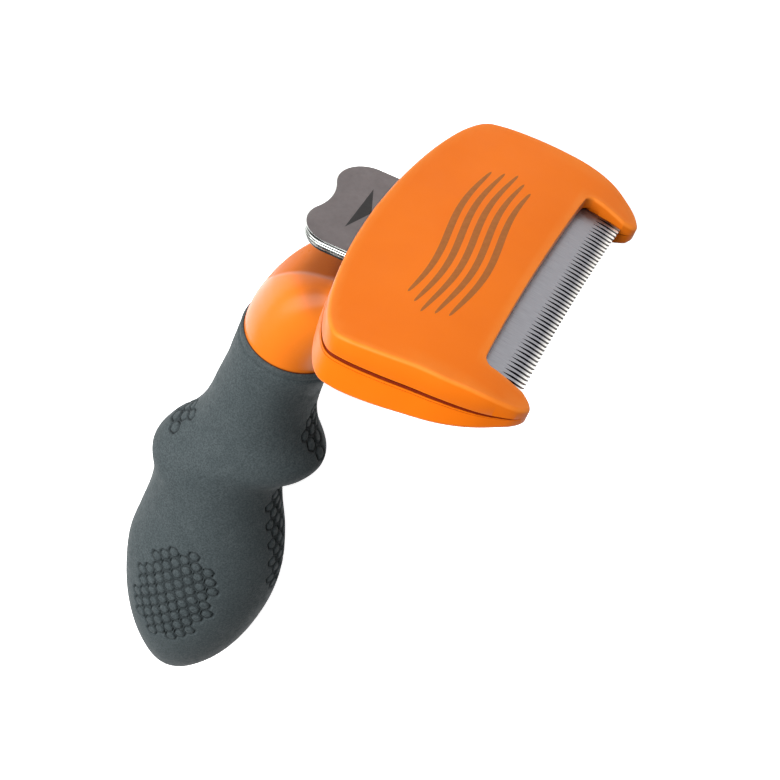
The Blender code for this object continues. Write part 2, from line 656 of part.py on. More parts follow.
# ---------------------------------------------------------------- the whole tool
def set_down(rest):
    """Move the outer frame so that the tool's box is centred over the origin, on z = 0."""
    bpy.context.view_layer.update()
    corners = []
    for obj in bpy.data.objects:
        if obj.type == "MESH" and not obj.hide_render:
            corners += [obj.matrix_world @ vert.co for vert in obj.data.vertices]
    low = [min(c[axis] for c in corners) for axis in range(3)]
    high = [max(c[axis] for c in corners) for axis in range(3)]
    rest.location = (-0.5 * (low[0] + high[0]), -0.5 * (low[1] + high[1]), -low[2])
    bpy.context.view_layer.update()


def build_tool():
    """Clear the scene and build every piece."""
    for obj in list(bpy.data.objects):
        bpy.data.objects.remove(obj, do_unlink=True)

    orange = principled("orange_shell", (0.92, 0.22, 0.012), 0.38)
    rubber = principled("grey_rubber", (0.075, 0.09, 0.093), 0.75)
    steel = principled("blade_steel", (0.55, 0.55, 0.55), 0.3, 1.0)
    nickel = principled("button_nickel", (0.16, 0.14, 0.14), 0.4, 1.0)
    chrome = principled("button_chrome", (0.75, 0.75, 0.76), 0.12, 1.0)
    black = principled("black_plastic", (0.03, 0.03, 0.03), 0.5)
    zinc = principled("zinc_screws", (0.5, 0.5, 0.48), 0.35, 1.0)

    rest = empty("rest_frame", rotation=(-LYING_ROLL, 0.0, 0.0))
    head = empty("head_frame", rest, rotation=(0.0, -LYING_TILT, 0.0))
    slide = empty("slide_frame", head, (0.0, 0.0, mm(SLIDE_ORIGIN_Z)), (SLIDE_TILT, 0.0, 0.0))

    front_shell(head, slide, orange)
    rear_shell(head, slide, orange)
    shell_screws(slide, zinc)
    blade(slide, steel)
    blade_clamp(slide, black)
    blade_screws(slide, zinc)
    ejector_bar(slide, steel)
    ejector_carriage(slide, black)
    button_layers(slide, black, chrome, nickel)
    springs_and_rods(slide, steel, zinc)
    neck(head, orange)
    neck_screws(head, zinc)
    handle_core(head, black)
    core_pin(head, zinc)
    grip(head, rubber)
    set_down(rest)


build_tool()
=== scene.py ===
"""Looks of the deshedding tool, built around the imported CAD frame.

Lengths in the modelling code are millimetres in the head frame (X along the comb, Y towards
the teeth, Z out of the face), or in the slide frame, the head frame turned about X.  `HEAD`
and `SLIDE` carry them into the row frame, in metres.
"""

import json
import math

import bmesh
import bpy
import numpy as np
from mathutils import Matrix, Vector


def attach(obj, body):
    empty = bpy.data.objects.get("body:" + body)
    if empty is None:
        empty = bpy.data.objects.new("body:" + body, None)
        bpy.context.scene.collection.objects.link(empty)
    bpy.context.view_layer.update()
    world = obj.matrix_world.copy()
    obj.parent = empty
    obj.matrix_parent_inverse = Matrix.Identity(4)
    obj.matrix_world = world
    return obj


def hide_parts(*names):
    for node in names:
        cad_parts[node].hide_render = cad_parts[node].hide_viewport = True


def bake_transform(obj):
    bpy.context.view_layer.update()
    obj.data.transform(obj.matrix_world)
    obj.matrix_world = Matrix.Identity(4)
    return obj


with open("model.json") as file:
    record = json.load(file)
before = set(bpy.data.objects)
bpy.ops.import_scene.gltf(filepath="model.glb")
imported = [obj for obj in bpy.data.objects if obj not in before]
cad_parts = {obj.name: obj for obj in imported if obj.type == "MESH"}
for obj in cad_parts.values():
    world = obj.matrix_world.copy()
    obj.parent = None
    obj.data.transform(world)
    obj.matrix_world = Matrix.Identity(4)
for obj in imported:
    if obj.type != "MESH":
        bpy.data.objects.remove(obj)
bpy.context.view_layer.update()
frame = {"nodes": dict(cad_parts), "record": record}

# ---------------------------------------------------------------- dimensions, mm
HEAD_REAR_Y = -32.2
GUARD_TIP_Y = 21.3
WINDOW_HALF_WIDTH = 34.0
WINDOW_REAR_Y = 6.8
WINDOW_SAG = 0.9
FACE_FILLET = 0.88
UNDER_FILLET = 1.5
WINDOW_FILLET = 0.9
WINDOW_EDGE_FILLET = 0.3
UNDER_REAR_Z = -17.35
FACE_RIM_DEPTH = 1.45               # height of the rounded rims, under the face
UNDER_RIM_DEPTH = 1.9               # and over the underside
GUARD_CLOSING_Y = (18.0, 20.6)      # where the parting groove closes towards the guard tips
WINDOW_CORNER_RADIUS = 2.0
SLIDE_TILT = math.radians(6.0)
SLIDE_ORIGIN_Z = -6.3
PARTING_KNEE_Y = 4.0
PARTING_FRONT_SLOPE = 0.04
PARTING_GAP = 0.3
LYING_TILT = math.radians(77.5)
LYING_ROLL = math.radians(2.2)
MOUNT_POINT = (0.0, 3.0, 0.65)      # the record's plain_face mount, head frame
CLEARANCE = 0.3                     # between neighbouring pieces

TOOTH_GAPS = 48
TOOTH_PITCH = 1.402
TOOTH_TIP_Y = 17.7
TOOTH_ROOT_Y = 12.1
TOOTH_BEVEL_Y = 14.6
BLADE_GRIND_Y = 7.6
BLADE_UNDER_Z = 0.2
BLADE_HALF_WIDTH = 33.7
BLADE_REAR_Y = -10.0
TIP_SAG = 0.7
TIP_RELIEF = 0.22                   # the underside rises by this much at the tips
TIP_RELIEF_Y = (16.6, 18.0)
# where the painted highlight on the teeth grows from none to full
TIP_HIGHLIGHT_Y = (15.6, 17.7)
GAP_HALF_WIDTH = 0.33
BLADE_SCREW_X = 26.0
BLADE_SCREW_Y = -4.0
BLADE_HOLE = ((1.5, -2.0), (1.5, 4.0))

LOBE_RADIUS = 7.6
LOBE_X = 8.4
LOBE_Y = -36.9
NOTCH_RADIUS = 11.5
BUTTON_FRONT_Y = -23.0
BUTTON_LAYER = 0.95
BUTTON_LAYER_GAP = 0.2
BUTTON_MIDDLE_Z = 0.8
SLOT_HALF_WIDTH = 16.9
SLOT_REAR_Y, SLOT_FRONT_Y = -40.0, -22.0
ARROW = ((-8.2, -35.4), (8.2, -35.4), (0.0, -32.3))

SPRING_X = 20.0
SPRING_REAR_Y = -21.4
SPRING_FRONT_Y = -8.4
SPRING_Z = -3.2
SPRING_RADIUS = 1.75
SPRING_WIRE = 0.5
SPRING_TURNS = 6
SPRING_DEAD_TURNS = 0.75            # closed turns at each end
SPRING_CREEP = 0.06                 # share of the length that all turns climb evenly

HANDLE_Y = -40.0
NECK_END_Z = -52.3
CORE_END_Z = -163.0
NECK_ARC_Y, NECK_ARC_Z, NECK_ARC_RADIUS = -18.2, -50.0, 33.0    # the rear side is an arc
NECK_FRONT_Y, NECK_LEAN = -25.7, 13.0       # the front side at the grip, and its way to the head
NECK_HALF_WIDTH, NECK_WIDENING = 14.2, 3.0
TENON_HALF_WIDTH, TENON_REAR_Y, TENON_FRONT_Y, TENON_END_Z = 11.0, -22.5, -15.5, -13.2

# tables of (y, z)
FACE_PROFILE = ((-32.2, -4.6), (-22.0, -2.8), (-12.0, -0.9), (-2.0, 0.45), (4.0, 0.65), (8.0, 0.55),
                (12.0, 0.0), (16.0, -1.1), (19.0, -2.1), (21.3, -3.0))
UNDER_PROFILE = ((-32.2, -17.35), (-17.0, -17.35), (-9.0, -16.2), (0.0, -14.3), (8.0, -12.2),
                 (14.0, -10.1), (18.0, -8.7), (21.3, -8.0))
# the head's outline on its right side, (x, y) from the rear round to the window
HEAD_SIDE = ((0.0, -32.2), (12.0, -31.7), (24.0, -30.3), (33.5, -28.3), (40.4, -25.9), (44.8, -22.8),
             (46.0, -18.6), (46.0, -11.0), (45.4, -3.0), (44.9, 4.0), (43.4, 11.3), (41.3, 16.5),
             (39.4, 19.6), (37.0, 21.3), (35.2, 20.5), (34.0, 18.2))
# how far the parting groove's lips stand in, and at which share of the shell's height
FRONT_LIPS = ((0.9, 0.0), (0.55, 0.0), (0.5, 0.07), (0.05, 0.08), (0.0, 0.1))
REAR_LIPS = ((0.9, 0.0), (0.55, 0.0), (0.5, 0.06), (0.07, 0.065), (0.03, 0.08), (0.03, 0.125),
             (0.2, 0.135), (0.2, 0.155), (0.0, 0.165))
# pockets in the shells, low and high corners in the slide frame
FRONT_POCKETS = (((-30.0, -26.0, -1.0), (30.0, -8.0, 3.0)),     # button and carriage
                 ((-34.2, -11.0, -1.0), (34.2, 4.2, 4.3)),      # blade clamp
                 ((-34.2, 4.0, -1.2), (34.2, 12.0, 2.7)))       # blade
REAR_POCKETS = (((-30.0, -26.0, -5.6), (30.0, -6.9, 1.0)),      # carriage and springs
                ((-34.2, -7.2, -2.75), (34.2, 12.0, 1.0)))      # ejector bar
TENON_SOCKET = ((-11.3, -22.8, -24.0), (11.3, -15.2, -10.0))    # head frame
SCREW_PLACES = ((39.2, -16.5), (-39.2, -16.5), (39.8, 2.0), (-39.8, 2.0))
PILOT_HOLE = ((1.15, -1.0), (1.15, 3.6))    # for a shell screw's thread, (radius, z)
SEAT_DEPTH = 2.0                            # a screw's seat over the underside, inwards
# the blade's thickness over y
BLADE_PROFILE = ((-20.0, 2.2), (BLADE_GRIND_Y, 2.2), (TOOTH_BEVEL_Y, 1.3), (TOOTH_TIP_Y + TIP_SAG, 0.5))
# the button's layers from bottom to top, (inset, height)
BASE_PROFILE = ((0.45, 0.0), (0.2, 0.06), (0.05, 0.22), (0.0, 0.45), (0.05, 0.75), (0.22, 0.92), (0.5, 0.95))
TRIM_PROFILE = ((0.55, -0.15), (0.3, -0.1), (0.06, 0.0), (0.0, 0.12), (0.02, 0.28), (0.2, 0.4), (0.3, 0.46),
                (0.2, 0.52), (0.02, 0.62), (0.0, 0.76), (0.08, 0.9), (0.35, 0.98), (0.6, 1.05))
CAP_PROFILE = ((0.6, -0.1), (0.3, 0.0), (0.06, 0.06), (0.02, 0.2), (0.1, 0.34), (0.12, 0.4), (0.0, 0.46),
               (0.0, 0.66), (0.16, 0.82), (0.34, 0.9), (0.5, 0.92), (1.0, 0.94), (2.2, 0.95))
# half width of the neck's flat rear facet over z
NECK_FACET = ((-42.0, 0.0), (-38.5, 2.6), (-34.5, 4.7), (-29.0, 6.9), (-24.8, 8.6), (-21.8, 10.4),
              (-17.6, 11.6))
# the neck's spigot inside the grip, (z, radius)
SPIGOT = ((-78.0, 6.7), (-77.2, 7.5), (NECK_END_Z, 7.5))
# the grip: z, reach to the rear, reach to the front, half width
GRIP_STATIONS = (
    (-51.0, 11.7, 15.1, 15.0), (-54.0, 11.9, 14.9, 14.8), (-57.5, 12.0, 13.6, 14.4),
    (-61.0, 12.1, 12.6, 14.0), (-65.0, 12.2, 12.3, 13.7), (-73.0, 13.0, 12.9, 13.2),
    (-79.5, 13.6, 15.4, 13.1), (-85.5, 14.8, 19.7, 13.3), (-91.5, 17.2, 18.2, 13.7),
    (-98.0, 21.0, 12.8, 14.1), (-105.0, 22.9, 12.9, 14.5), (-112.0, 20.6, 14.9, 14.9),
    (-120.0, 20.0, 18.0, 15.4), (-130.0, 20.5, 20.5, 15.9), (-140.0, 20.9, 21.2, 16.2),
    (-150.0, 19.3, 20.4, 16.0), (-160.0, 16.5, 18.5, 15.0), (-169.0, 12.5, 15.5, 12.9),
    (-177.0, 7.4, 11.2, 9.4), (-182.0, 3.1, 7.1, 5.5), (-184.0, 0.6, 3.9, 2.4))
# its bore from the top down: half width, reach to the rear, reach to the front, z
GRIP_BORE = ((14.55, 11.35, 14.7, -50.7), (14.5, 11.3, 14.5, NECK_END_Z - 0.3),
             (9.7, 9.7, 9.7, NECK_END_Z - 0.7), (9.7, 9.7, 9.7, CORE_END_Z - 0.3))

# ---------------------------------------------------------------- frames
MOUNT = next(m for m in frame["record"]["mounts"] if m["name"] == "plain_face")
TURN = Matrix.Rotation(-LYING_ROLL, 4, "X") @ Matrix.Rotation(-LYING_TILT, 4, "Y")
SCALE = Matrix.Scale(0.001, 4)
HEAD_ORIGIN = Vector(MOUNT["pos_m"]) - TURN.to_3x3() @ (Vector(MOUNT_POINT) * 0.001)
HEAD_METRES = Matrix.Translation(HEAD_ORIGIN) @ TURN
HEAD = HEAD_METRES @ SCALE
SLIDE = HEAD @ Matrix.Translation((0.0, 0.0, SLIDE_ORIGIN_Z)) @ Matrix.Rotation(SLIDE_TILT, 4, "X")


# ---------------------------------------------------------------- curves and profiles
def catmull(points, steps):
    """A smooth open curve through points, `steps` pieces between each two."""
    p = np.array([points[0], *points, points[-1]], float)
    rows = []
    for i in range(1, len(p) - 2):
        for k in range(steps):
            t = k / steps
            a, b, c, d = p[i - 1:i + 3]
            rows.append(0.5 * (2 * b + (c - a) * t + (2 * a - 5 * b + 4 * c - d) * t * t
                               + (3 * b - a - 3 * c + d) * t ** 3))
    rows.append(p[-1])
    return np.array(rows)


def smooth_profile(points):
    """Height over y through points, bent smoothly."""
    ys = np.array([p[0] for p in points], float)
    zs = np.array([p[1] for p in points], float)
    slopes = np.gradient(zs, ys)

    def height(y):
        """The curve at y, carried on straight past its ends."""
        y = np.asarray(y, float)
        i = np.clip(np.searchsorted(ys, y) - 1, 0, len(ys) - 2)
        h = ys[i + 1] - ys[i]
        t = (y - ys[i]) / h
        inside = np.clip(t, 0.0, 1.0)
        t2 = inside * inside
        t3 = t2 * inside
        value = ((2 * t3 - 3 * t2 + 1) * zs[i] + (t3 - 2 * t2 + inside) * h * slopes[i]
                 + (3 * t2 - 2 * t3) * zs[i + 1] + (t3 - t2) * h * slopes[i + 1])
        return value + (t - inside) * h * np.where(t < 0, slopes[i], slopes[i + 1])

    return height


face_z = smooth_profile(FACE_PROFILE)
under_z = smooth_profile(UNDER_PROFILE)


def parting_z(y):
    """Height of the surface where the two shells meet."""
    slope = math.tan(SLIDE_TILT)
    return SLIDE_ORIGIN_Z + slope * y - (slope - PARTING_FRONT_SLOPE) * np.maximum(0.0, y - PARTING_KNEE_Y)


def lookup(table, at):
    """Straight interpolation in a table of (place, value)."""
    places, values = zip(*table)
    return np.interp(at, places, values)


def ramp(value, low, high):
    """0 at low and beyond, 1 at high and beyond, smooth between."""
    t = np.clip((np.asarray(value, float) - low) / (high - low), 0.0, 1.0)
    return t * t * (3 - 2 * t)


# ---------------------------------------------------------------- mesh helpers
def to_mesh(name, build, place):
    """A mesh in the row frame from a bmesh in millimetres, which is freed."""
    bmesh.ops.recalc_face_normals(build, faces=build.faces)
    mesh = bpy.data.meshes.new(name)
    build.to_mesh(mesh)
    build.free()
    mesh.transform(place)
    return mesh


def add_object(name, data):
    """A linked object for a mesh, a lamp or a camera."""
    obj = bpy.data.objects.new(name, data)
    bpy.context.collection.objects.link(obj)
    return obj


def finish_mesh(name, build, place, material, sharp=38.0, body="tool"):
    """A shaded object from a bmesh in millimetres, with one material or several."""
    mesh = to_mesh(name, build, place)
    mesh.shade_smooth()
    mesh.set_sharp_from_angle(angle=math.radians(sharp))
    obj = add_object(name, mesh)
    for item in material if isinstance(material, (list, tuple)) else [material]:
        mesh.materials.append(item)
    if body:
        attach(obj, body)
    return obj


def loft(rings, build=None):
    """A closed bmesh skin over rings of equal length, added to build if it is given."""
    if build is None:
        build = bmesh.new()
    rows = [[build.verts.new(p) for p in ring] for ring in rings]
    for lower, upper in zip(rows, rows[1:]):
        count = len(lower)
        for i in range(count):
            j = (i + 1) % count
            build.faces.new((lower[i], lower[j], upper[j], upper[i]))
    build.faces.new(tuple(reversed(rows[0])))
    build.faces.new(tuple(rows[-1]))
    return build


def box(low, high):
    """A bmesh box between two corners."""
    x0, y0, z0 = low
    x1, y1, z1 = high
    return loft([[(x0, y0, z), (x1, y0, z), (x1, y1, z), (x0, y1, z)] for z in (z0, z1)])


def turned(profile, centre, sides):
    """A turned bmesh about a line along Z; profile is (radius, z)."""
    x, y = centre
    angles = [2 * math.pi * k / sides for k in range(sides)]
    rings = [[(x + r * math.cos(a), y + r * math.sin(a), z) for a in angles] for r, z in profile]
    return loft(rings)


def slice_across(build, axis, places):
    """Extra edges where planes square to an axis, 0 for X and 1 for Y, cross the bmesh."""
    for place in places:
        point, normal = [0, 0, 0], [0, 0, 0]
        point[axis], normal[axis] = place, 1
        geometry = [*build.verts, *build.edges, *build.faces]
        bmesh.ops.bisect_plane(build, geom=geometry, plane_co=point, plane_no=normal)


def cut(obj, build, place):
    """Take a bmesh in millimetres away from obj, and apply it."""
    mesh = to_mesh("cutter", build, place)
    cutter = add_object("cutter", mesh)
    modifier = obj.modifiers.new("cut", "BOOLEAN")
    modifier.operation = "DIFFERENCE"
    modifier.solver = "EXACT"
    modifier.object = cutter
    bpy.context.view_layer.update()
    evaluated = obj.evaluated_get(bpy.context.evaluated_depsgraph_get())
    result = bpy.data.meshes.new_from_object(evaluated)
    obj.modifiers.remove(modifier)
    old = obj.data
    obj.data = result
    bpy.data.meshes.remove(old)
    bpy.data.objects.remove(cutter)
    bpy.data.meshes.remove(mesh)


def inset(outline, distances):
    """Move each point of a counter-clockwise outline inwards by its own distance."""
    before = outline - np.roll(outline, 1, 0)
    after = np.roll(outline, -1, 0) - outline
    before /= np.maximum(np.linalg.norm(before, axis=1, keepdims=True), 1e-9)
    after /= np.maximum(np.linalg.norm(after, axis=1, keepdims=True), 1e-9)
    n0 = np.stack([-before[:, 1], before[:, 0]], 1)
    n1 = np.stack([-after[:, 1], after[:, 0]], 1)
    normal = n0 + n1
    normal /= np.maximum(np.linalg.norm(normal, axis=1, keepdims=True), 1e-9)
    stretch = 1.0 / np.maximum((normal * n0).sum(1), 0.6)
    return outline + normal * (np.asarray(distances) * stretch)[:, None]


def set_attribute(obj, name, values):
    """A number for each vertex, for the materials to read."""
    attribute = obj.data.attributes.new(name, "FLOAT", "POINT")
    attribute.data.foreach_set("value", np.asarray(values, np.float32))


def points_in(place, obj):
    """The vertices of obj in the frame that place carries into the row frame, mm."""
    co = np.zeros(len(obj.data.vertices) * 3)
    obj.data.vertices.foreach_get("co", co)
    back = np.array(place.inverted())
    return co.reshape(-1, 3) @ back[:3, :3].T + back[:3, 3]


# ---------------------------------------------------------------- materials
class Shader:
    """A Principled material with a few helpers for its nodes."""

    def __init__(self, name, colour, roughness, metallic=0.0, **sockets):
        """Further sockets of the Principled node are given with _ for each space."""
        self.material = bpy.data.materials.new(name)
        self.material.use_nodes = True
        self.tree = self.material.node_tree
        self.shader = self.tree.nodes["Principled BSDF"]
        self.shader.inputs["Base Color"].default_value = (*colour, 1.0)
        self.shader.inputs["Roughness"].default_value = roughness
        self.shader.inputs["Metallic"].default_value = metallic
        for socket, value in sockets.items():
            self.shader.inputs[socket.replace("_", " ")].default_value = value
        self.coordinates = self.node("ShaderNodeTexCoord").outputs["Object"]

    def node(self, kind, **settings):
        """A new node with these properties."""
        made = self.tree.nodes.new(kind)
        for key, value in settings.items():
            setattr(made, key, value)
        return made

    def link(self, source, target):
        """Join an output to an input."""
        self.tree.links.new(source, target)

    def attribute(self, name):
        """A number stored on the vertices."""
        return self.node("ShaderNodeAttribute", attribute_name=name).outputs["Fac"]

    def stretched(self, matrix, scale):
        """Object coordinates turned by the inverse of a frame and scaled, for brushed marks."""
        mapping = self.node("ShaderNodeMapping", vector_type="POINT")
        turn = matrix.to_3x3().normalized().inverted().to_euler()
        mapping.inputs["Rotation"].default_value = turn
        self.link(self.coordinates, mapping.inputs["Vector"])
        second = self.node("ShaderNodeMapping", vector_type="POINT")
        second.inputs["Scale"].default_value = scale
        self.link(mapping.outputs["Vector"], second.inputs["Vector"])
        return second.outputs["Vector"]

    def noise(self, scale, detail, vector=None, roughness=0.55):
        """Noise in object coordinates, scale in waves per metre, or along another vector."""
        made = self.node("ShaderNodeTexNoise")
        made.inputs["Scale"].default_value = scale
        made.inputs["Detail"].default_value = detail
        made.inputs["Roughness"].default_value = roughness
        self.link(vector or self.coordinates, made.inputs["Vector"])
        return made.outputs["Fac"]

    def ranged(self, value, low, high, to_low, to_high):
        """The value moved from one range to another, clamped."""
        made = self.node("ShaderNodeMapRange")
        limits = {"From Min": low, "From Max": high, "To Min": to_low, "To Max": to_high}
        for socket, number in limits.items():
            made.inputs[socket].default_value = number
        self.link(value, made.inputs["Value"])
        return made.outputs["Result"]

    def ramp(self, value, *stops):
        """A colour between two (position, colour) stops."""
        made = self.node("ShaderNodeValToRGB")
        elements = made.color_ramp.elements
        for element, (position, colour) in zip(elements, stops, strict=True):
            element.position = position
            element.color = (*colour, 1.0)
        self.link(value, made.inputs["Fac"])
        return made.outputs["Color"]

    def mix(self, factor, first, second):
        """First colour at factor 0, second at 1; a colour is a socket or a tuple."""
        made = self.node("ShaderNodeMix", data_type="RGBA")
        self.link(factor, made.inputs[0])
        for socket, value in ((6, first), (7, second)):
            if isinstance(value, tuple):
                made.inputs[socket].default_value = (*value, 1.0)
            else:
                self.link(value, made.inputs[socket])
        return made.outputs[2]

    def math(self, operation, first, second):
        """Arithmetic on sockets or numbers."""
        made = self.node("ShaderNodeMath", operation=operation)
        for socket, value in ((0, first), (1, second)):
            if isinstance(value, (int, float)):
                made.inputs[socket].default_value = value
            else:
                self.link(value, made.inputs[socket])
        return made.outputs["Value"]

    def bump(self, *layers):
        """Bump from (height, strength, distance in mm) layers, one over the other."""
        normal = None
        for height, strength, distance in layers:
            made = self.node("ShaderNodeBump")
            made.inputs["Strength"].default_value = strength
            made.inputs["Distance"].default_value = distance * 0.001
            self.link(height, made.inputs["Height"])
            if normal is not None:
                self.link(normal, made.inputs["Normal"])
            normal = made.outputs["Normal"]
        self.link(normal, self.shader.inputs["Normal"])

    def occlusion(self, distance):
        """0 in crevices up to 1 in the open."""
        made = self.node("ShaderNodeAmbientOcclusion", samples=8)
        made.inputs["Distance"].default_value = distance * 0.001
        return made.outputs["AO"]

    def colour(self, socket):
        """Use a socket as the base colour."""
        self.link(socket, self.shader.inputs["Base Color"])

    def roughness(self, socket):
        """Use a socket as the roughness."""
        self.link(socket, self.shader.inputs["Roughness"])


def orange_plastic():
    """Satin moulded plastic: faint flow marks, a very fine grain, and a painted highlight along the face's
    edge.

    Reads `edge`, 1 on the face's edge where a highlight is painted, and the seam attribute, 1 down in the
    parting groove where shade is painted.
    """
    s = Shader("orange_plastic", (0.88, 0.19, 0.012), 0.36, Specular_IOR_Level=0.1, Sheen_Weight=0.1,
               Sheen_Roughness=0.22)
    flow = s.noise(45.0, 4.0)
    body = s.ramp(flow, (0.3, (0.88, 0.175, 0.004)), (0.7, (0.92, 0.195, 0.006)))
    # painted highlight: paler plastic along the face's crease, its strength varied by noise
    edge = s.attribute("edge")
    crease_highlight = s.math("MULTIPLY", edge, s.ranged(s.noise(260.0, 3.0), 0.3, 0.7, 0.3, 0.5))
    highlighted_body = s.mix(crease_highlight, body, (0.97, 0.34, 0.06))
    # painted shade: dark brown in crevices found by occlusion and down in the parting groove
    deep = s.ranged(s.occlusion(1.0), 0.2, 0.5, 1.0, 0.0)
    dark = s.math("MAXIMUM", deep, s.attribute("seam_shade"))
    s.colour(s.mix(dark, highlighted_body, (0.24, 0.022, 0.006)))
    s.roughness(s.ranged(s.noise(120.0, 4.0), 0.3, 0.7, 0.33, 0.41))
    s.bump((s.noise(2600.0, 2.0), 0.10, 0.02), (s.noise(28.0, 2.0), 0.12, 0.25))
    return s.material


def neck_plastic():
    """The same plastic as the head, glossier except on its facet.

    Reads `shade`, 1 in the corner under the button, and `facet`, 1 on the flat rear facet.
    """
    s = Shader("neck_plastic", (0.88, 0.2, 0.014), 0.34, Coat_Roughness=0.3)
    body = s.ramp(s.noise(38.0, 4.0), (0.3, (0.86, 0.19, 0.012)), (0.7, (0.9, 0.215, 0.015)))
    deep = s.ranged(s.occlusion(26.0), 0.35, 0.85, 1.0, 0.0)
    shade = s.math("MAXIMUM", deep, s.attribute("shade"))
    s.colour(s.mix(shade, body, (0.2, 0.05, 0.015)))
    s.roughness(s.ranged(s.noise(90.0, 3.0), 0.3, 0.7, 0.27, 0.35))
    gloss = s.ranged(s.attribute("facet"), 0.0, 1.0, 1.0, 0.05)
    for socket, most in (("Specular IOR Level", 0.18), ("Coat Weight", 0.12)):
        s.link(s.math("MULTIPLY", gloss, most), s.shader.inputs[socket])
    s.bump((s.noise(2400.0, 2.0), 0.08, 0.02))
    return s.material


def rubber():
    """Slate grey soft rubber with a fine leathery grain; reads `groove`, where painted shade darkens it."""
    s = Shader("grip_rubber", (0.063, 0.076, 0.079), 0.6, Specular_IOR_Level=0.05)
    cloud = s.noise(210.0, 5.0)
    mottled = s.ramp(cloud, (0.3, (0.075, 0.093, 0.098)), (0.7, (0.09, 0.109, 0.114)))
    grain = s.noise(2100.0, 2.0, roughness=0.7)
    speck = s.ranged(grain, 0.36, 0.64, 0.0, 0.6)
    grained = s.mix(speck, mottled, (0.03, 0.038, 0.041))
    # painted shade down in the honeycomb grooves
    groove = s.math("MULTIPLY", s.attribute("groove"), 0.75)
    s.colour(s.mix(groove, grained, (0.01, 0.012, 0.013)))
    s.roughness(s.ranged(s.noise(700.0, 3.0), 0.3, 0.7, 0.5, 0.66))
    s.bump((grain, 0.7, 0.1), (s.noise(3800.0, 2.0), 0.2, 0.03))
    return s.material


def blade_steel():
    """Ground stainless steel with fine marks along the teeth; reads an attribute for the painted highlight,
    1 at the tips.
    """
    s = Shader("blade_steel", (0.4, 0.4, 0.41), 0.32, 1.0)
    marks = s.noise(1.0, 5.0, s.stretched(SLIDE, (5200.0, 260.0, 900.0)))
    cross = s.noise(1.0, 3.0, s.stretched(SLIDE, (160.0, 4200.0, 900.0)))
    base = s.ramp(marks, (0.25, (0.12, 0.12, 0.13)), (0.75, (0.176, 0.176, 0.189)))
    # painted highlight towards the tooth tips
    s.colour(s.mix(s.attribute("tip_highlight"), base, (0.56, 0.545, 0.515)))
    s.roughness(s.ranged(marks, 0.3, 0.7, 0.26, 0.4))
    s.bump((marks, 0.12, 0.03), (cross, 0.05, 0.03))
    return s.material


def gap_steel():
    """The sawn walls between the teeth: the steel in painted shade, dark and slightly blue, bright with a
    painted highlight where the tip attribute is 1.
    """
    s = Shader("gap_steel", (0.05, 0.052, 0.065), 0.45, 0.7)
    marks = s.noise(1.0, 4.0, s.stretched(SLIDE, (900.0, 260.0, 5200.0)))
    # painted shade: the walls' steel made near black
    base = s.ramp(marks, (0.3, (0.008, 0.009, 0.016)), (0.7, (0.022, 0.024, 0.042)))
    s.colour(s.mix(s.attribute("tip_highlight"), base, (0.55, 0.535, 0.51)))
    s.roughness(s.ranged(marks, 0.3, 0.7, 0.38, 0.55))
    s.bump((marks, 0.15, 0.03))
    return s.material


def satin_nickel():
    """The button's cap: dark satin nickel with a fine bead-blasted grain."""
    s = Shader("satin_nickel", (0.2, 0.175, 0.175), 0.42, 0.85)
    cloud = s.noise(150.0, 4.0)
    s.colour(s.ramp(cloud, (0.3, (0.078, 0.067, 0.067)), (0.7, (0.096, 0.083, 0.083))))
    s.roughness(s.ranged(s.noise(900.0, 3.0), 0.3, 0.7, 0.36, 0.5))
    s.bump((s.noise(3200.0, 2.0), 0.14, 0.02))
    return s.material


def chrome(name, colour, rough):
    """Polished metal with faint smears; rough is its least and most roughness."""
    s = Shader(name, colour, rough[0], 1.0)
    dark = tuple(c * 0.82 for c in colour)
    s.colour(s.ramp(s.noise(320.0, 4.0), (0.3, dark), (0.7, colour)))
    s.roughness(s.ranged(s.noise(500.0, 3.0), 0.3, 0.7, *rough))
    s.bump((s.noise(1400.0, 2.0), 0.05, 0.02))
    return s.material


def moulded_black():
    """Black plastic with a moulded grain."""
    s = Shader("moulded_black", (0.02, 0.02, 0.021), 0.45)
    cloud = s.noise(300.0, 4.0)
    s.colour(s.ramp(cloud, (0.3, (0.014, 0.014, 0.015)), (0.7, (0.03, 0.03, 0.031))))
    s.roughness(s.ranged(s.noise(800.0, 3.0), 0.3, 0.7, 0.38, 0.55))
    s.bump((s.noise(2200.0, 3.0), 0.2, 0.03))
    return s.material


def printed_ink(name, colour):
    """Pad-printed ink, thinner in places."""
    s = Shader(name, colour, 0.42, Specular_IOR_Level=0.1)
    thin = tuple(c * 1.18 for c in colour)
    s.colour(s.ramp(s.noise(900.0, 4.0), (0.35, colour), (0.75, thin)))
    s.roughness(s.ranged(s.noise(1200.0, 2.0), 0.3, 0.7, 0.36, 0.5))
    s.bump((s.noise(3000.0, 2.0), 0.1, 0.01))
    return s.material


ORANGE = orange_plastic()
NECK_ORANGE = neck_plastic()
RUBBER = rubber()
BLADE = blade_steel()
GAP_WALL = gap_steel()
NICKEL = satin_nickel()
CHROME = chrome("bright_chrome", (0.5, 0.52, 0.5), (0.16, 0.28))
ZINC = chrome("zinc_screw", (0.5, 0.5, 0.47), (0.24, 0.4))
SPRING = chrome("spring_wire", (0.6, 0.6, 0.6), (0.15, 0.3))
BLACK = moulded_black()
BROWN_INK = printed_ink("brown_ink", (0.36, 0.115, 0.022))
BLACK_INK = printed_ink("black_ink", (0.018, 0.017, 0.017))
DARK_CHROME = chrome("dark_chrome", (0.44, 0.46, 0.45), (0.16, 0.28))
EJECTOR = chrome("ejector_steel", (0.45, 0.45, 0.46), (0.22, 0.38))


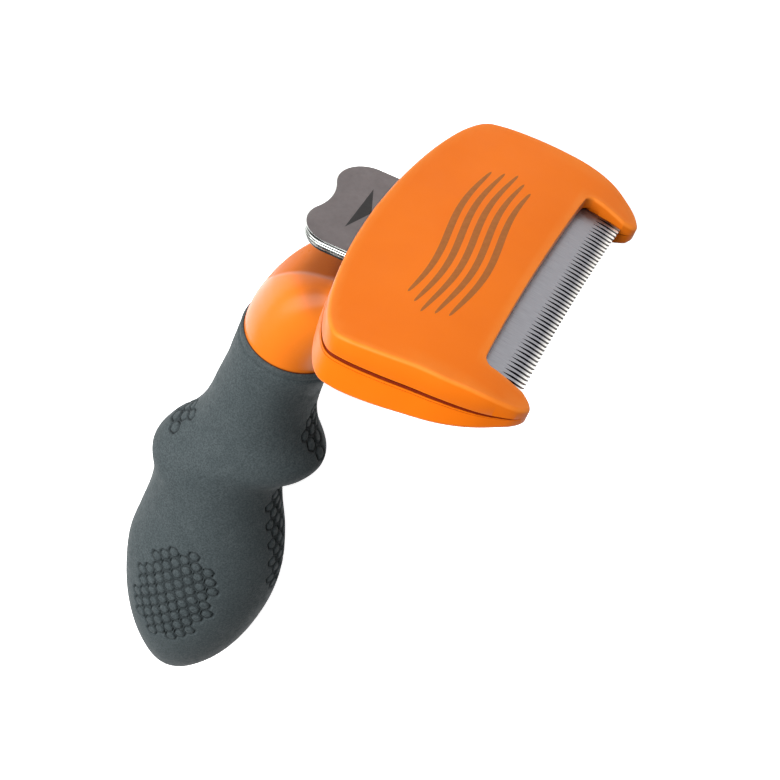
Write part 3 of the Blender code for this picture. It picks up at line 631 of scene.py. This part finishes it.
# ---------------------------------------------------------------- head shells and print
def head_outline():
    """Outline of the head seen on its face, counter-clockwise, with a 0..1 window weight."""
    outer = catmull(HEAD_SIDE, 12)
    radius = WINDOW_CORNER_RADIUS
    corner = []
    for k in range(11):
        angle = math.radians(-80.0 * k / 10)
        corner.append((WINDOW_HALF_WIDTH - radius + radius * math.cos(angle),
                       WINDOW_REAR_Y + WINDOW_SAG + radius + radius * math.sin(angle)))
    edge = []
    for x in np.linspace(31.0, 0.0, 26)[1:-1]:
        edge.append((x, WINDOW_REAR_Y + WINDOW_SAG * (x / WINDOW_HALF_WIDTH) ** 2))
    half = np.vstack([outer, corner, edge])
    mirrored = half[1:][::-1] * (-1.0, 1.0)
    outline = np.vstack([half, [(0.0, WINDOW_REAR_Y)], mirrored])
    beside = np.abs(outline[:, 0]) < WINDOW_HALF_WIDTH + 1.5
    weight = (beside & (outline[:, 1] > WINDOW_REAR_Y - 1.0)).astype(float)
    for _ in range(6):
        weight = (np.roll(weight, 1) + 2 * weight + np.roll(weight, -1)) / 4
    return outline, weight


OUTLINE, WINDOW_WEIGHT = head_outline()


def shell_skin(name, top, radius, rim_depth, side, lips):
    """One shell: from the parting surface to its outer face, with a rounded rim.

    Heights are first written as a share: 0 to 1 from the parting surface to rim_depth under
    the outer face, 1 to 2 through the rim, and then moved on to the two curved surfaces.
    top is the height of the outer face over y; side is 1 for the front shell, -1 for the rear.
    """
    crisp = ramp(OUTLINE[:, 1], WINDOW_REAR_Y + 3.5, WINDOW_REAR_Y + 1.0)
    inner_radius = WINDOW_FILLET + (WINDOW_EDGE_FILLET - WINDOW_FILLET) * crisp
    radii = inner_radius * WINDOW_WEIGHT + radius * (1.0 - WINDOW_WEIGHT)
    lip = (1.0 - WINDOW_WEIGHT) * (1.0 - ramp(OUTLINE[:, 1], *GUARD_CLOSING_Y))
    rings = []
    for amount, share in lips:
        rings.append((inset(OUTLINE, amount * lip), np.full(len(OUTLINE), share)))
    steps = 9
    for k in range(steps + 1):
        angle = 0.5 * math.pi * k / steps
        depth = radii * (1.0 - math.sin(angle))
        rings.append((inset(OUTLINE, radii * (1.0 - math.cos(angle))), 2.0 - depth / rim_depth))
    build = loft([np.column_stack([p, s]) for p, s in rings])
    slice_across(build, 1, np.arange(HEAD_REAR_Y + 0.7, GUARD_TIP_Y, 0.9))
    slice_across(build, 0, np.arange(-44.0, 44.1, 4.0))
    co = np.array([v.co for v in build.verts])
    gap = PARTING_GAP * 0.5 * (1.0 - 0.75 * ramp(co[:, 1], *GUARD_CLOSING_Y))
    base = parting_z(co[:, 1]) + side * gap
    rim = top(co[:, 1]) - side * rim_depth
    low = base + co[:, 2] * (rim - base)
    high = rim + (co[:, 2] - 1.0) * side * rim_depth
    heights = np.where(co[:, 2] < 1.0, low, high)
    for vert, height in zip(build.verts, heights):
        vert.co.z = height
    return finish_mesh(name, build, HEAD, ORANGE)


def distance_to(outline, points):
    """Distance of each point to a closed outline, seen from above."""
    nearest = np.full(len(points), 1e9)
    for start, end in zip(outline, np.roll(outline, -1, 0)):
        span = end - start
        share = np.clip((points - start) @ span / max(span @ span, 1e-12), 0.0, 1.0)
        foot = start + share[:, None] * span
        nearest = np.minimum(nearest, np.hypot(*(points - foot).T))
    return nearest


CREASE_HALF_WIDTH, CREASE_FADE = 0.5, 0.7       # the painted highlight's band just inside the outline
CREASE_DEPTH, CREASE_DEPTH_FADE = 0.3, 0.45     # and how deep under the face it lies
SEAM_INSET = (0.15, 0.45)                       # painted shade in the groove, from here to there
SEAM_HEIGHT = (1.3, 1.1)                        # and within this height off the parting


def mark_edges(obj, top):
    """A painted highlight along the crease of the face, painted shade down in the parting groove."""
    points = points_in(HEAD, obj)
    depth = np.abs(top(points[:, 1]) - points[:, 2])
    crease = distance_to(inset(OUTLINE, np.full(len(OUTLINE), CREASE_HALF_WIDTH)), points[:, :2])
    near = np.exp(-(np.maximum(crease - CREASE_HALF_WIDTH, 0.0) / CREASE_FADE) ** 2)
    deep = np.exp(-((depth - CREASE_DEPTH) / CREASE_DEPTH_FADE) ** 2)
    # where the painted highlight lies, along the face's crease
    set_attribute(obj, "edge", near * deep)
    rim = distance_to(OUTLINE, points[:, :2])
    off_parting = np.abs(points[:, 2] - parting_z(points[:, 1]))
    # painted shade down in the parting groove
    set_attribute(obj, "seam_shade", ramp(rim, *SEAM_INSET) * ramp(off_parting, *SEAM_HEIGHT))


def button_slot(obj):
    """The slot through the rear wall that the push button slides in."""
    half = 1.5 * BUTTON_LAYER + BUTTON_LAYER_GAP + CLEARANCE
    low = (-SLOT_HALF_WIDTH, SLOT_REAR_Y, BUTTON_MIDDLE_Z - half)
    high = (SLOT_HALF_WIDTH, SLOT_FRONT_Y, BUTTON_MIDDLE_Z + half)
    cut(obj, box(low, high), SLIDE)


def front_shell():
    """Upper shell with the face and the upper half of both guards."""
    shell = shell_skin("front_shell_skin", face_z, FACE_FILLET, FACE_RIM_DEPTH, 1.0, FRONT_LIPS)
    button_slot(shell)
    for low, high in FRONT_POCKETS:
        cut(shell, box(low, high), SLIDE)
    for x, y in SCREW_PLACES:
        cut(shell, turned(PILOT_HOLE, (x, y), 16), SLIDE)
    mark_edges(shell, face_z)
    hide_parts("front_shell")


def rear_shell():
    """Lower shell on the handle side, with the screw counterbores."""
    shell = shell_skin("rear_shell_skin", under_z, UNDER_FILLET, UNDER_RIM_DEPTH, -1.0, REAR_LIPS)
    button_slot(shell)
    for low, high in REAR_POCKETS:
        cut(shell, box(low, high), SLIDE)
    cut(shell, box(*TENON_SOCKET), HEAD)
    for x, y in SCREW_PLACES:
        seat = float(under_z(y) - parting_z(y)) + SEAT_DEPTH
        bore = ((3.15, -14.0), (2.9, seat - 1.6), (2.9, seat), (1.55, seat), (1.55, 2.0))
        cut(shell, turned(bore, (x, y), 28), SLIDE)
    mark_edges(shell, under_z)
    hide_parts("rear_shell")


STRANDS = 5
STRAND_STEPS = 90
STRAND_REACH, STRAND_SHORTENING = 29.0, 7.0     # half length, and twice what the outer ones lose
STRAND_HALF_WIDTH = 0.78
STRAND_SHIFT = 2.4                              # in x from the first strand to the last
PRINT_REAR_Y, PRINT_SPAN_Y = -14.6, 11.4
WAVE_HEIGHT, WAVE_LENGTH = 1.2, 8.2             # length for one radian
INK_BELOW, INK_ABOVE = 0.05, 0.02               # under and over the face


def strand(share):
    """Pairs of points along the sides of a strand; share is 0 for the rear one, 1 for the front."""
    reach = STRAND_REACH - STRAND_SHORTENING * abs(share - 0.5)
    base_y = PRINT_REAR_Y + PRINT_SPAN_Y * share
    pairs = []
    for k in range(STRAND_STEPS + 1):
        t = k / STRAND_STEPS
        x = reach * (1.0 - 2.0 * t) + STRAND_SHIFT * (share - 0.5)
        phase = x / WAVE_LENGTH + 0.35 * share
        y = base_y + WAVE_HEIGHT * math.sin(phase)
        half = STRAND_HALF_WIDTH * math.sin(math.pi * t) ** 0.35 + 0.02
        slope = WAVE_HEIGHT / WAVE_LENGTH * math.cos(phase)
        nx, ny = -slope / math.hypot(1, slope), 1 / math.hypot(1, slope)
        pairs.append([(x - nx * half, y - ny * half), (x + nx * half, y + ny * half)])
    return pairs


def face_print():
    """A plain motif in brown ink: combed strands of hair, printed on the face."""
    build = bmesh.new()
    for n in range(STRANDS):
        rings = []
        for (ax, ay), (bx, by) in strand(n / (STRANDS - 1)):
            az, bz = float(face_z(ay)), float(face_z(by))
            rings.append([(ax, ay, az - INK_BELOW), (bx, by, bz - INK_BELOW),
                          (bx, by, bz + INK_ABOVE), (ax, ay, az + INK_ABOVE)])
        loft(rings, build)
    finish_mesh("face_strand_print", build, HEAD, BROWN_INK)


# ---------------------------------------------------------------- blade
def tip_y(x):
    """The line of tooth tips."""
    return TOOTH_TIP_Y + TIP_SAG * ((x / BLADE_HALF_WIDTH) ** 2 - 0.35)


def blade_top(y):
    """Slide-frame height of the blade's upper side."""
    return BLADE_UNDER_Z + lookup(BLADE_PROFILE, y)


def tooth_gap(x):
    """The outline of one gap, from the tip line in to its pointed root and out again."""
    tip = tip_y(x)
    half = GAP_HALF_WIDTH
    side = [(half + 0.12, tip), (half + 0.02, tip - 0.28), (half, tip - 0.7), (half * 0.97, TOOTH_BEVEL_Y),
            (half * 0.7, TOOTH_BEVEL_Y - 1.0), (half * 0.34, TOOTH_ROOT_Y + 0.7), (0.0, TOOTH_ROOT_Y)]
    return [(x + dx, y) for dx, y in side] + [(x - dx, y) for dx, y in side[-2::-1]]


def blade():
    """The comb: a ground plate with pointed gaps, chamfered tips and two screw holes."""
    outline = [(-BLADE_HALF_WIDTH, BLADE_REAR_Y), (BLADE_HALF_WIDTH, BLADE_REAR_Y),
               (BLADE_HALF_WIDTH, tip_y(BLADE_HALF_WIDTH))]
    for k in range(TOOTH_GAPS):
        outline += tooth_gap((0.5 * (TOOTH_GAPS - 1) - k) * TOOTH_PITCH)
    outline.append((-BLADE_HALF_WIDTH, tip_y(BLADE_HALF_WIDTH)))
    build = loft([[(x, y, z) for x, y in outline] for z in (0.0, 1.0)])
    slice_across(build, 1, (BLADE_GRIND_Y, 10.0, TOOTH_ROOT_Y, 13.3, TOOTH_BEVEL_Y, 15.5, 16.4, 17.0))
    for vert in build.verts:
        if vert.co.z > 0.5:
            vert.co.z = float(blade_top(vert.co.y))
        else:
            vert.co.z = BLADE_UNDER_Z + TIP_RELIEF * float(ramp(vert.co.y, *TIP_RELIEF_Y))
    for face in build.faces:
        centre = face.calc_center_median()
        face.normal_update()
        upright = abs(face.normal.z) < 0.5
        in_comb = centre.y > TOOTH_ROOT_Y - 0.1 and abs(centre.x) < BLADE_HALF_WIDTH
        # upright walls within the comb take the steel in painted shade
        face.material_index = int(upright and in_comb)
    plate = finish_mesh("blade_comb", build, SLIDE, [BLADE, GAP_WALL], 20.0)
    for x in (BLADE_SCREW_X, -BLADE_SCREW_X):
        cut(plate, turned(BLADE_HOLE, (x, BLADE_SCREW_Y), 24), SLIDE)
    # painted highlight on the teeth, growing towards the tips
    set_attribute(plate, "tip_highlight", ramp(points_in(SLIDE, plate)[:, 1], *TIP_HIGHLIGHT_Y))
    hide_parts("blade")


# ---------------------------------------------------------------- push button
def arc(centre, radius, start, end, count):
    """Points on a circle, angles in degrees."""
    angles = np.radians(np.linspace(start, end, count))
    return np.column_stack([centre[0] + radius * np.cos(angles), centre[1] + radius * np.sin(angles)])


def button_outline(margin):
    """Two round lobes joined by a shallow hollow, the front edge straight."""
    lobe = LOBE_RADIUS - margin
    hollow = NOTCH_RADIUS + margin
    rise = math.sqrt((lobe + hollow) ** 2 - LOBE_X ** 2)
    turn = math.degrees(math.atan2(rise, LOBE_X))
    side = LOBE_X + lobe
    left = arc((-LOBE_X, LOBE_Y), lobe, 180.0, 360.0 - turn, 40)
    notch = arc((0.0, LOBE_Y - rise), hollow, 180.0 - turn, turn, 22)
    right = arc((LOBE_X, LOBE_Y), lobe, 180.0 + turn, 360.0, 40)
    front = [(side, BUTTON_FRONT_Y), (0.0, BUTTON_FRONT_Y), (-side, BUTTON_FRONT_Y)]
    return np.vstack([front, left, notch[1:-1], right])


def button_layer(name, node, margin, bottom, profile, material, side_material):
    """One layer of the button; profile is (inset, height) from bottom to top."""
    outline = button_outline(margin)
    inside = outline[:, 1] < BUTTON_FRONT_Y + 0.1
    rings = []
    for amount, height in profile:
        ring = inset(outline, amount * inside)
        rings.append([(x, y, bottom + height) for x, y in ring])
    build = loft(rings)
    top = bottom + profile[-1][1] - 0.1
    for face in build.faces:
        face.material_index = int(min(vert.co.z for vert in face.verts) < top)
    layer = finish_mesh(name, build, SLIDE, (material, side_material), 30.0, "hair_ejector")
    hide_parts(node)


def push_button():
    """Base, bright beaded trim and satin cap with a printed arrowhead."""
    step = BUTTON_LAYER + BUTTON_LAYER_GAP
    low = BUTTON_MIDDLE_Z - 1.5 * BUTTON_LAYER - BUTTON_LAYER_GAP
    button_layer("button_base_layer", "button_base", 0.3, low, BASE_PROFILE,
                 DARK_CHROME, DARK_CHROME)
    button_layer("button_trim_layer", "button_trim", 0.0, low + step, TRIM_PROFILE,
                 CHROME, CHROME)
    button_layer("button_cap_layer", "button_cap", 0.0, low + 2 * step, CAP_PROFILE,
                 NICKEL, CHROME)
    top = low + 2 * step + BUTTON_LAYER
    rings = [[(x, y, top + z) for x, y in ARROW] for z in (-0.1, 0.015)]
    finish_mesh("button_arrow_print", loft(rings), SLIDE, BLACK_INK, 30.0, "hair_ejector")


# ---------------------------------------------------------------- return springs
def return_spring(side, x):
    """A coil spring whose rear end the button pushes forwards, built at its resting length."""
    steps, sides = 40, 10
    rings = []
    for k in range(SPRING_TURNS * steps + 1):
        turns = k / steps
        open_turns = (turns - SPRING_DEAD_TURNS) / (SPRING_TURNS - 2 * SPRING_DEAD_TURNS)
        climb = min(1.0, max(0.0, open_turns))
        share = SPRING_CREEP * turns / SPRING_TURNS + (1.0 - SPRING_CREEP) * climb
        y = SPRING_REAR_Y + SPRING_WIRE + (SPRING_FRONT_Y - SPRING_REAR_Y - 2 * SPRING_WIRE) * share
        angle = 2.0 * math.pi * turns
        ring = []
        for n in range(sides):
            around = 2.0 * math.pi * n / sides
            radius = SPRING_RADIUS + 0.5 * SPRING_WIRE * math.cos(around)
            ring.append((x + radius * math.cos(angle), y + 0.5 * SPRING_WIRE * math.sin(around),
                         SPRING_Z + radius * math.sin(angle)))
        rings.append(ring)
    coil = finish_mesh(f"return_coil_{side}", loft(rings), SLIDE, SPRING, body=None)
    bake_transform(coil)
    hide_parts(f"return_spring_{side}")


# ---------------------------------------------------------------- neck
def superellipse(half_x, rear_y, front_y, z, sides, power=2.0, facet=0.0):
    """A horizontal rounded ring between two y limits.

    With a facet, the rear is cut flat between x = -facet and x = facet, which leaves a crease.
    """
    centre = 0.5 * (rear_y + front_y)
    half_y = 0.5 * (front_y - rear_y)
    fuller = half_y / math.sqrt(1.0 - (facet / half_x) ** 2)
    ring = []
    for k in range(sides):
        angle = 2.0 * math.pi * k / sides
        c, s = math.cos(angle), math.sin(angle)
        x = half_x * math.copysign(abs(c) ** (2.0 / power), c)
        reach = half_y if s > 0 else fuller
        y = centre + reach * math.copysign(abs(s) ** (2.0 / power), s)
        ring.append((x, max(y, rear_y), z))
    return ring


BUTTON_CORNER = (14.3, 34.8, 24.3)      # beside the button's lobes, signs left out
CORNER_FADE = 5.0


def neck():
    """The bend from the head's underside down into the grip."""
    sides = 256
    rings = []
    for z, radius in SPIGOT:
        rings.append(superellipse(radius, HANDLE_Y - radius, HANDLE_Y + radius, z, sides))
    top_z = UNDER_REAR_Z - CLEARANCE
    for z in np.linspace(NECK_END_Z, top_z, 90):
        rise = (z - NECK_END_Z) / (top_z - NECK_END_Z)
        rear = NECK_ARC_Y - math.sqrt(NECK_ARC_RADIUS ** 2 - (z - NECK_ARC_Z) ** 2)
        front = NECK_FRONT_Y + NECK_LEAN * rise ** 1.6
        half_x = NECK_HALF_WIDTH + NECK_WIDENING * rise ** 1.2
        facet = float(lookup(NECK_FACET, z))
        rings.append(superellipse(half_x, rear, front, z, sides, 2.0 + 0.2 * rise, facet))
    for z in (top_z, TENON_END_Z):
        rings.append(superellipse(TENON_HALF_WIDTH, TENON_REAR_Y, TENON_FRONT_Y, z, sides, 5.0))
    piece = finish_mesh("neck_bend", loft(rings), HEAD, NECK_ORANGE, 50.0)
    points = points_in(HEAD, piece)
    off_corner = np.sum((np.abs(points) - BUTTON_CORNER) ** 2, 1)
    beside_button = np.exp(-off_corner / CORNER_FADE ** 2)
    under_button = ramp(points[:, 2], -30.0, -23.0) * ramp(points[:, 1], -30.0, -34.0)
    set_attribute(piece, "shade", np.maximum(0.7 * beside_button, 0.6 * under_button))
    past_edge = np.abs(points[:, 0]) - lookup(NECK_FACET, points[:, 2])
    set_attribute(piece, "facet", ramp(past_edge, 1.0, -1.0) * ramp(points[:, 1], -28.0, -32.0))
    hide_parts("neck")


# ---------------------------------------------------------------- grip
HEX_PITCH = 3.5
HEX_RADIUS = 1.5
GROOVE_WIDTH = 0.25
GROOVE_DEPTH = 0.6
PALM_TURN = math.radians(-6.0)
PALM_Y, PALM_Z, PALM_SIDE_X = -40.7, -142.5, 6.0
STRIP_Z, FINGER_Z, THUMB_Z = -118.5, -77.5, -91.8
# half width, half length and squareness of each patch
PALM_SHAPE = (11.0, 19.2, 1.75)
STRIP_SHAPE = (4.4, 17.5, 3.0)
FINGER_SHAPE = (5.2, 6.6, 2.2)
THUMB_SHAPE = (6.4, 5.2, 2.2)
FRONT_RADIUS, REAR_RADIUS = 15.5, 16.0      # to measure along the grip's surface
GRIP_ROWS = 420
GRIP_SIDES = 380


def honeycomb(u, v, reach_u, reach_v, power):
    """0..1 depth of rounded hexagon rings whose centres lie inside a rounded patch."""
    row_pitch = HEX_PITCH * math.sqrt(3.0) / 2.0
    best = np.full(len(u), 1e9)
    for row_shift in (-1, 0, 1):
        row = np.round(v / row_pitch) + row_shift
        offset = 0.5 * (row % 2)
        for column_shift in (-1, 0, 1):
            column = np.round(u / HEX_PITCH - offset) + column_shift
            centre_u = (column + offset) * HEX_PITCH
            centre_v = row * row_pitch
            du, dv = u - centre_u, v - centre_v
            angle = np.arctan2(dv, du) + math.pi / 6
            radius = np.hypot(du, dv) * (1.0 - 0.05 * np.cos(6 * angle))
            inside = (np.abs(centre_u) / reach_u) ** power + (np.abs(centre_v) / reach_v) ** power < 1.0
            best = np.where(inside, np.minimum(best, np.abs(radius - HEX_RADIUS)), best)
    return np.exp(-(best / GROOVE_WIDTH) ** 2)


def groove_depth(points):
    """0..1 depth of the four kinds of moulded patch at each point of the grip."""
    x, y, z = points.T
    around = np.arctan2(x, y - HANDLE_Y)          # 0 towards the teeth, pi to the rear
    front = around * FRONT_RADIUS
    rear = (np.pi - np.abs(around)) * np.sign(around + 1e-9) * REAR_RADIUS
    across, along = y - PALM_Y, z - PALM_Z
    palm_u = across * math.cos(PALM_TURN) + along * math.sin(PALM_TURN)
    palm_v = along * math.cos(PALM_TURN) - across * math.sin(PALM_TURN)
    palm = honeycomb(palm_u, palm_v, *PALM_SHAPE) * (np.abs(x) > PALM_SIDE_X)
    strip = honeycomb(x, z - STRIP_Z, *STRIP_SHAPE) * (y > HANDLE_Y)
    finger = honeycomb(front, z - FINGER_Z, *FINGER_SHAPE) * (y > HANDLE_Y)
    thumb = honeycomb(rear, z - THUMB_Z, *THUMB_SHAPE) * (y < HANDLE_Y)
    return np.maximum.reduce([palm, strip, finger, thumb])


def grip_surface():
    """Points of the smooth grip, rows from the lip to the bulb, and the way out at each."""
    stations = catmull(GRIP_STATIONS, 24)
    spans = np.linalg.norm(np.diff(stations[:, :3], axis=0), axis=1)
    length = np.concatenate([[0.0], np.cumsum(spans)])
    even = np.linspace(0.0, length[-1], GRIP_ROWS)
    z, rear, front, wide = (np.interp(even, length, stations[:, i])[:, None] for i in range(4))
    angle = 2 * np.pi * np.arange(GRIP_SIDES) / GRIP_SIDES
    c, s = np.cos(angle), np.sin(angle)
    lip = 1.0 + 0.012 * np.exp(-((z + 51.5) / 0.8) ** 2) - 0.028 * np.exp(-((z + 53.2) / 0.45) ** 2)
    half_y = 0.5 * (front + rear)
    centre = HANDLE_Y + 0.5 * (front - rear)
    px = wide * c * lip
    py = centre + half_y * s * lip
    points = np.stack([px, py, np.broadcast_to(z, px.shape)], -1)
    around = np.roll(points, -1, 1) - np.roll(points, 1, 1)
    normal = np.cross(around, np.gradient(points, axis=0))
    normal /= np.maximum(np.linalg.norm(normal, axis=-1, keepdims=True), 1e-9)
    outward = np.stack(np.broadcast_arrays(c, s, np.zeros_like(px)), -1)
    side = np.sign((normal * outward).sum(-1, keepdims=True))
    normal *= np.where(side == 0, 1, side)
    return points.reshape(-1, 3), normal.reshape(-1, 3)


def grip():
    """The soft grip with its lip, flares, bulb and moulded honeycomb patches."""
    points, normal = grip_surface()
    depth = groove_depth(points)
    points = points - normal * (GROOVE_DEPTH * depth)[:, None]
    rings = list(points.reshape(GRIP_ROWS, GRIP_SIDES, 3)[::-1])
    for half_x, to_rear, to_front, z in GRIP_BORE:
        ring = superellipse(half_x, HANDLE_Y - to_rear, HANDLE_Y + to_front, z, GRIP_SIDES)
        rings.append(np.array(ring))
    faces = []
    for i in range(len(rings) - 1):
        a = i * GRIP_SIDES + np.arange(GRIP_SIDES)
        b = i * GRIP_SIDES + (np.arange(GRIP_SIDES) + 1) % GRIP_SIDES
        faces.append(np.stack([a, b, b + GRIP_SIDES, a + GRIP_SIDES], 1))
    faces = np.concatenate(faces).tolist()
    faces.append(list(range(GRIP_SIDES))[::-1])
    last = (len(rings) - 1) * GRIP_SIDES
    faces.append(list(range(last, last + GRIP_SIDES)))
    vertices = np.concatenate(rings)
    mesh = bpy.data.meshes.new("grip_skin")
    mesh.from_pydata(vertices.tolist(), [], faces)
    mesh.transform(HEAD)
    mesh.shade_smooth()
    mesh.set_sharp_from_angle(angle=math.radians(60.0))
    mesh.materials.append(RUBBER)
    obj = add_object("grip_skin", mesh)
    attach(obj, "tool")
    # groove depth, for the painted shade in the rubber
    groove = np.zeros(len(vertices))
    groove[:len(depth)] = depth.reshape(GRIP_ROWS, GRIP_SIDES)[::-1].ravel()
    set_attribute(obj, "groove", groove)
    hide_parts("grip")


# ---------------------------------------------------------------- carried-over nodes
def dress_cad_nodes():
    """Better materials for the CAD nodes that stay."""
    looks = {"shell_screw": ZINC, "blade_screw": ZINC, "neck_screw": ZINC, "spring_rod": ZINC,
             "core_pin": ZINC, "blade_clamp": BLACK, "ejector_carriage": BLACK,
             "handle_core": BLACK, "ejector_bar": EJECTOR}
    for name, obj in frame["nodes"].items():
        for start, material in looks.items():
            if name.startswith(start):
                for slot in obj.material_slots:
                    slot.material = material


# ---------------------------------------------------------------- stage
# right, down and ahead in the head frame, and the head's origin seen from the camera, mm
CAMERA_AXES = ((-0.38838, 0.8724, 0.29678), (0.57594, 0.48122, -0.66085), (-0.71934, -0.08573, -0.68935))
CAMERA_OFFSET = (26.23077, -29.25723, 495.54857)
CAMERA_LENS = 102.61
WORLD_STRENGTH = 0.07
FLOOR_HALF_SIZE = 4.0
LAMP_AIM = (0.0, 0.0, 0.045)
LAMPS = (
    # name, direction from the tool, distance and size in metres, power in watts
    ("key", (0.3, -0.8, 0.6), 1.3, 0.9, 8.8),
    ("top", (-0.15, -0.35, 1.0), 1.3, 1.0, 18.5),
    ("face_fill", (-1.0, 0.1, 0.35), 1.4, 1.0, 11.0),
)


def area_lamp(name, direction, distance, size, power):
    """A round soft lamp aimed at the tool."""
    light = bpy.data.lights.new(name, "AREA")
    light.shape = "DISK"
    light.size = size
    light.energy = power
    lamp = add_object(name, light)
    towards = Vector(direction).normalized()
    lamp.location = Vector(LAMP_AIM) + towards * distance
    lamp.rotation_euler = towards.to_track_quat("Z", "Y").to_euler()


def stage():
    """Camera at the photograph's angle, a pale floor and soft lights."""
    scene = bpy.context.scene
    axes = Matrix(CAMERA_AXES)
    place = -(axes.transposed() @ Vector(CAMERA_OFFSET))
    right, down, ahead = axes
    local = Matrix.Translation(place * 0.001) @ Matrix((right, -down, -ahead)).transposed().to_4x4()
    camera = add_object("camera", bpy.data.cameras.new("camera"))
    camera.matrix_world = HEAD_METRES @ local
    camera.data.sensor_width = 36.0
    camera.data.lens = CAMERA_LENS
    camera.data.clip_start = 0.01
    scene.camera = camera

    floor_mesh = bpy.data.meshes.new("floor")
    half = FLOOR_HALF_SIZE
    corners = [(-half, -half, 0), (half, -half, 0), (half, half, 0), (-half, half, 0)]
    floor_mesh.from_pydata(corners, [], [(0, 1, 2, 3)])
    floor = add_object("floor", floor_mesh)
    s = Shader("floor_paper", (0.9, 0.9, 0.9), 0.9, Specular_IOR_Level=0.1, Emission_Strength=0.95,
               Emission_Color=(1.0, 1.0, 1.0, 1.0))
    s.colour(s.ramp(s.noise(3.0, 2.0), (0.3, (0.89, 0.89, 0.89)), (0.7, (0.91, 0.91, 0.91))))
    floor_mesh.materials.append(s.material)
    floor.visible_diffuse = False

    world = bpy.data.worlds.new("studio")
    scene.world = world
    world.use_nodes = True
    background = world.node_tree.nodes["Background"]
    background.inputs["Color"].default_value = (1.0, 1.0, 1.0, 1.0)
    background.inputs["Strength"].default_value = WORLD_STRENGTH

    for lamp in LAMPS:
        area_lamp(*lamp)
    scene.view_settings.view_transform = "Standard"


front_shell()
rear_shell()
face_print()
blade()
push_button()
return_spring("left", -SPRING_X)
return_spring("right", SPRING_X)
neck()
grip()
dress_cad_nodes()
stage()
